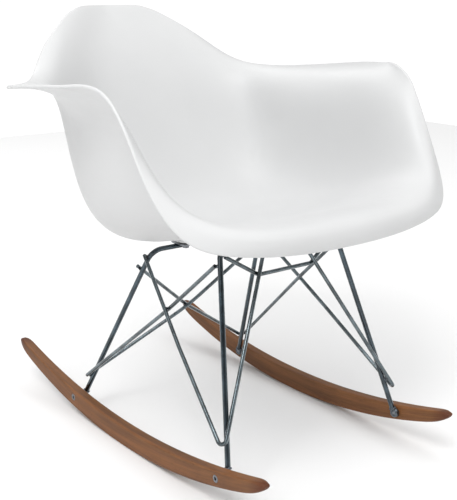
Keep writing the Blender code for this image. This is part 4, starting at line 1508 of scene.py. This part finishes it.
# ---------------------------------------------------------------- studio
@dataclass(frozen=True)
class SoftBox:
    """One square studio light: its place, what it faces, its width in metres and its power."""

    name: str
    place: Color
    target: Color
    width: float
    power: float
    color: Color = (1.0, 1.0, 1.0)


@dataclass
class Studio:
    """A pale floor, a pale room, soft lights and the camera."""

    camera_place: Color = (-0.932, -1.229, 0.7056)
    look_turn: float = 37.51
    look_down: float = 15.38
    lens: float = 71.67
    shift: tuple[float, float] = (0.0132, 0.0047)
    floor_size: float = 6.0
    lights: tuple[SoftBox, ...] = (
        SoftBox("key", (-1.7, -1.2, 2.8), (0.1, 0, 0.5), 1.5, 48.0),
        SoftBox("side", (-2.4, -0.9, 1.7), (0.2, 0, 0.45), 1.0, 9.0),
        SoftBox("fill", (1.6, -2.6, 2.4), (0, 0, 0.4), 1.4, 12.0),
        SoftBox("back", (0.6, 2.6, 2.6), (0, 0, 0.4), 1.4, 14.0))

    def add_floor(self) -> None:
        """The plain floor, which isn't part of the chair."""
        half = self.floor_size / 2
        mesh = new_mesh("floor", [(-half, -half, 0), (half, -half, 0), (half, half, 0),
                                  (-half, half, 0)], [(0, 1, 2, 3)])
        material = bpy.data.materials.new("pale_floor")
        material.use_nodes = True
        shader = material.node_tree.nodes["Principled BSDF"]
        shader.inputs["Base Color"].default_value = (0.88, 0.88, 0.88, 1)
        shader.inputs["Roughness"].default_value = 0.85
        shader.inputs["Specular IOR Level"].default_value = 0.1
        mesh.materials.append(material)
        new_object("floor", mesh)

    def add_room(self) -> None:
        """Light from a room with a pale horizon, darker walls and a bright ceiling."""
        world = bpy.data.worlds.new("pale_room")
        world.use_nodes = True
        bpy.context.scene.world = world
        nodes = NodeWriter(world.node_tree)
        background = world.node_tree.nodes["Background"]
        background.inputs["Color"].default_value = (1.0, 1.0, 1.0, 1)
        way = nodes.add("ShaderNodeTexCoord").outputs["Generated"]
        rise = nodes.add("ShaderNodeSeparateXYZ", {"Vector": way}).outputs["Z"]
        wall = nodes.ranged(rise, (0.10, 0.25), (1.06, 0.22))
        ceiling = nodes.ranged(rise, (0.50, 0.85), (0.0, 1.25))
        nodes.feed(background.inputs["Strength"], nodes.math("ADD", wall, ceiling))

    def add_lights(self) -> None:
        """The soft boxes."""
        for box in self.lights:
            data = bpy.data.lights.new(box.name, "AREA")
            data.shape, data.size, data.energy, data.color = "SQUARE", box.width, box.power, \
                box.color
            light = bpy.data.objects.new(box.name, data)
            light.location = box.place
            light.rotation_euler = (Vector(box.target) - Vector(box.place)).to_track_quat(
                "-Z", "Y").to_euler()
            bpy.context.scene.collection.objects.link(light)

    def add_camera(self) -> None:
        """The camera, a little above the seat and towards the chair's front right."""
        data = bpy.data.cameras.new("camera")
        data.lens, data.sensor_width = self.lens, 36.0
        data.shift_x, data.shift_y = self.shift
        data.clip_start, data.clip_end = 0.05, 60.0
        camera = bpy.data.objects.new("camera", data)
        camera.location = self.camera_place
        camera.rotation_euler = (math.radians(90 - self.look_down), 0,
                                 -math.radians(self.look_turn))
        bpy.context.scene.collection.objects.link(camera)
        bpy.context.scene.camera = camera

    def build(self) -> None:
        """Builds the whole set."""
        bpy.context.scene.view_settings.view_transform = "Standard"
        self.add_floor()
        self.add_room()
        self.add_lights()
        self.add_camera()


def main() -> None:
    """Builds the chair and its studio, then hands them to the frame."""
    logging.basicConfig(level=logging.INFO, format="%(name)s: %(message)s")
    rockers, base, seat_mounts, shell = Rockers(), WireBase(), SeatMounts(), SeatShell()
    rods, repeats, welds = rod_tree(), repeat_tree(), weld_tree()
    base.draw_lines(rockers)
    mounts = seat_mounts.places(base.bars())
    rockers.build(repeats)
    base.build(rods, welds, rockers, mounts)
    seat_mounts.build(repeats, mounts)
    shell.build(mounts)
    Studio().build()


if __name__ == "__main__":
    main()
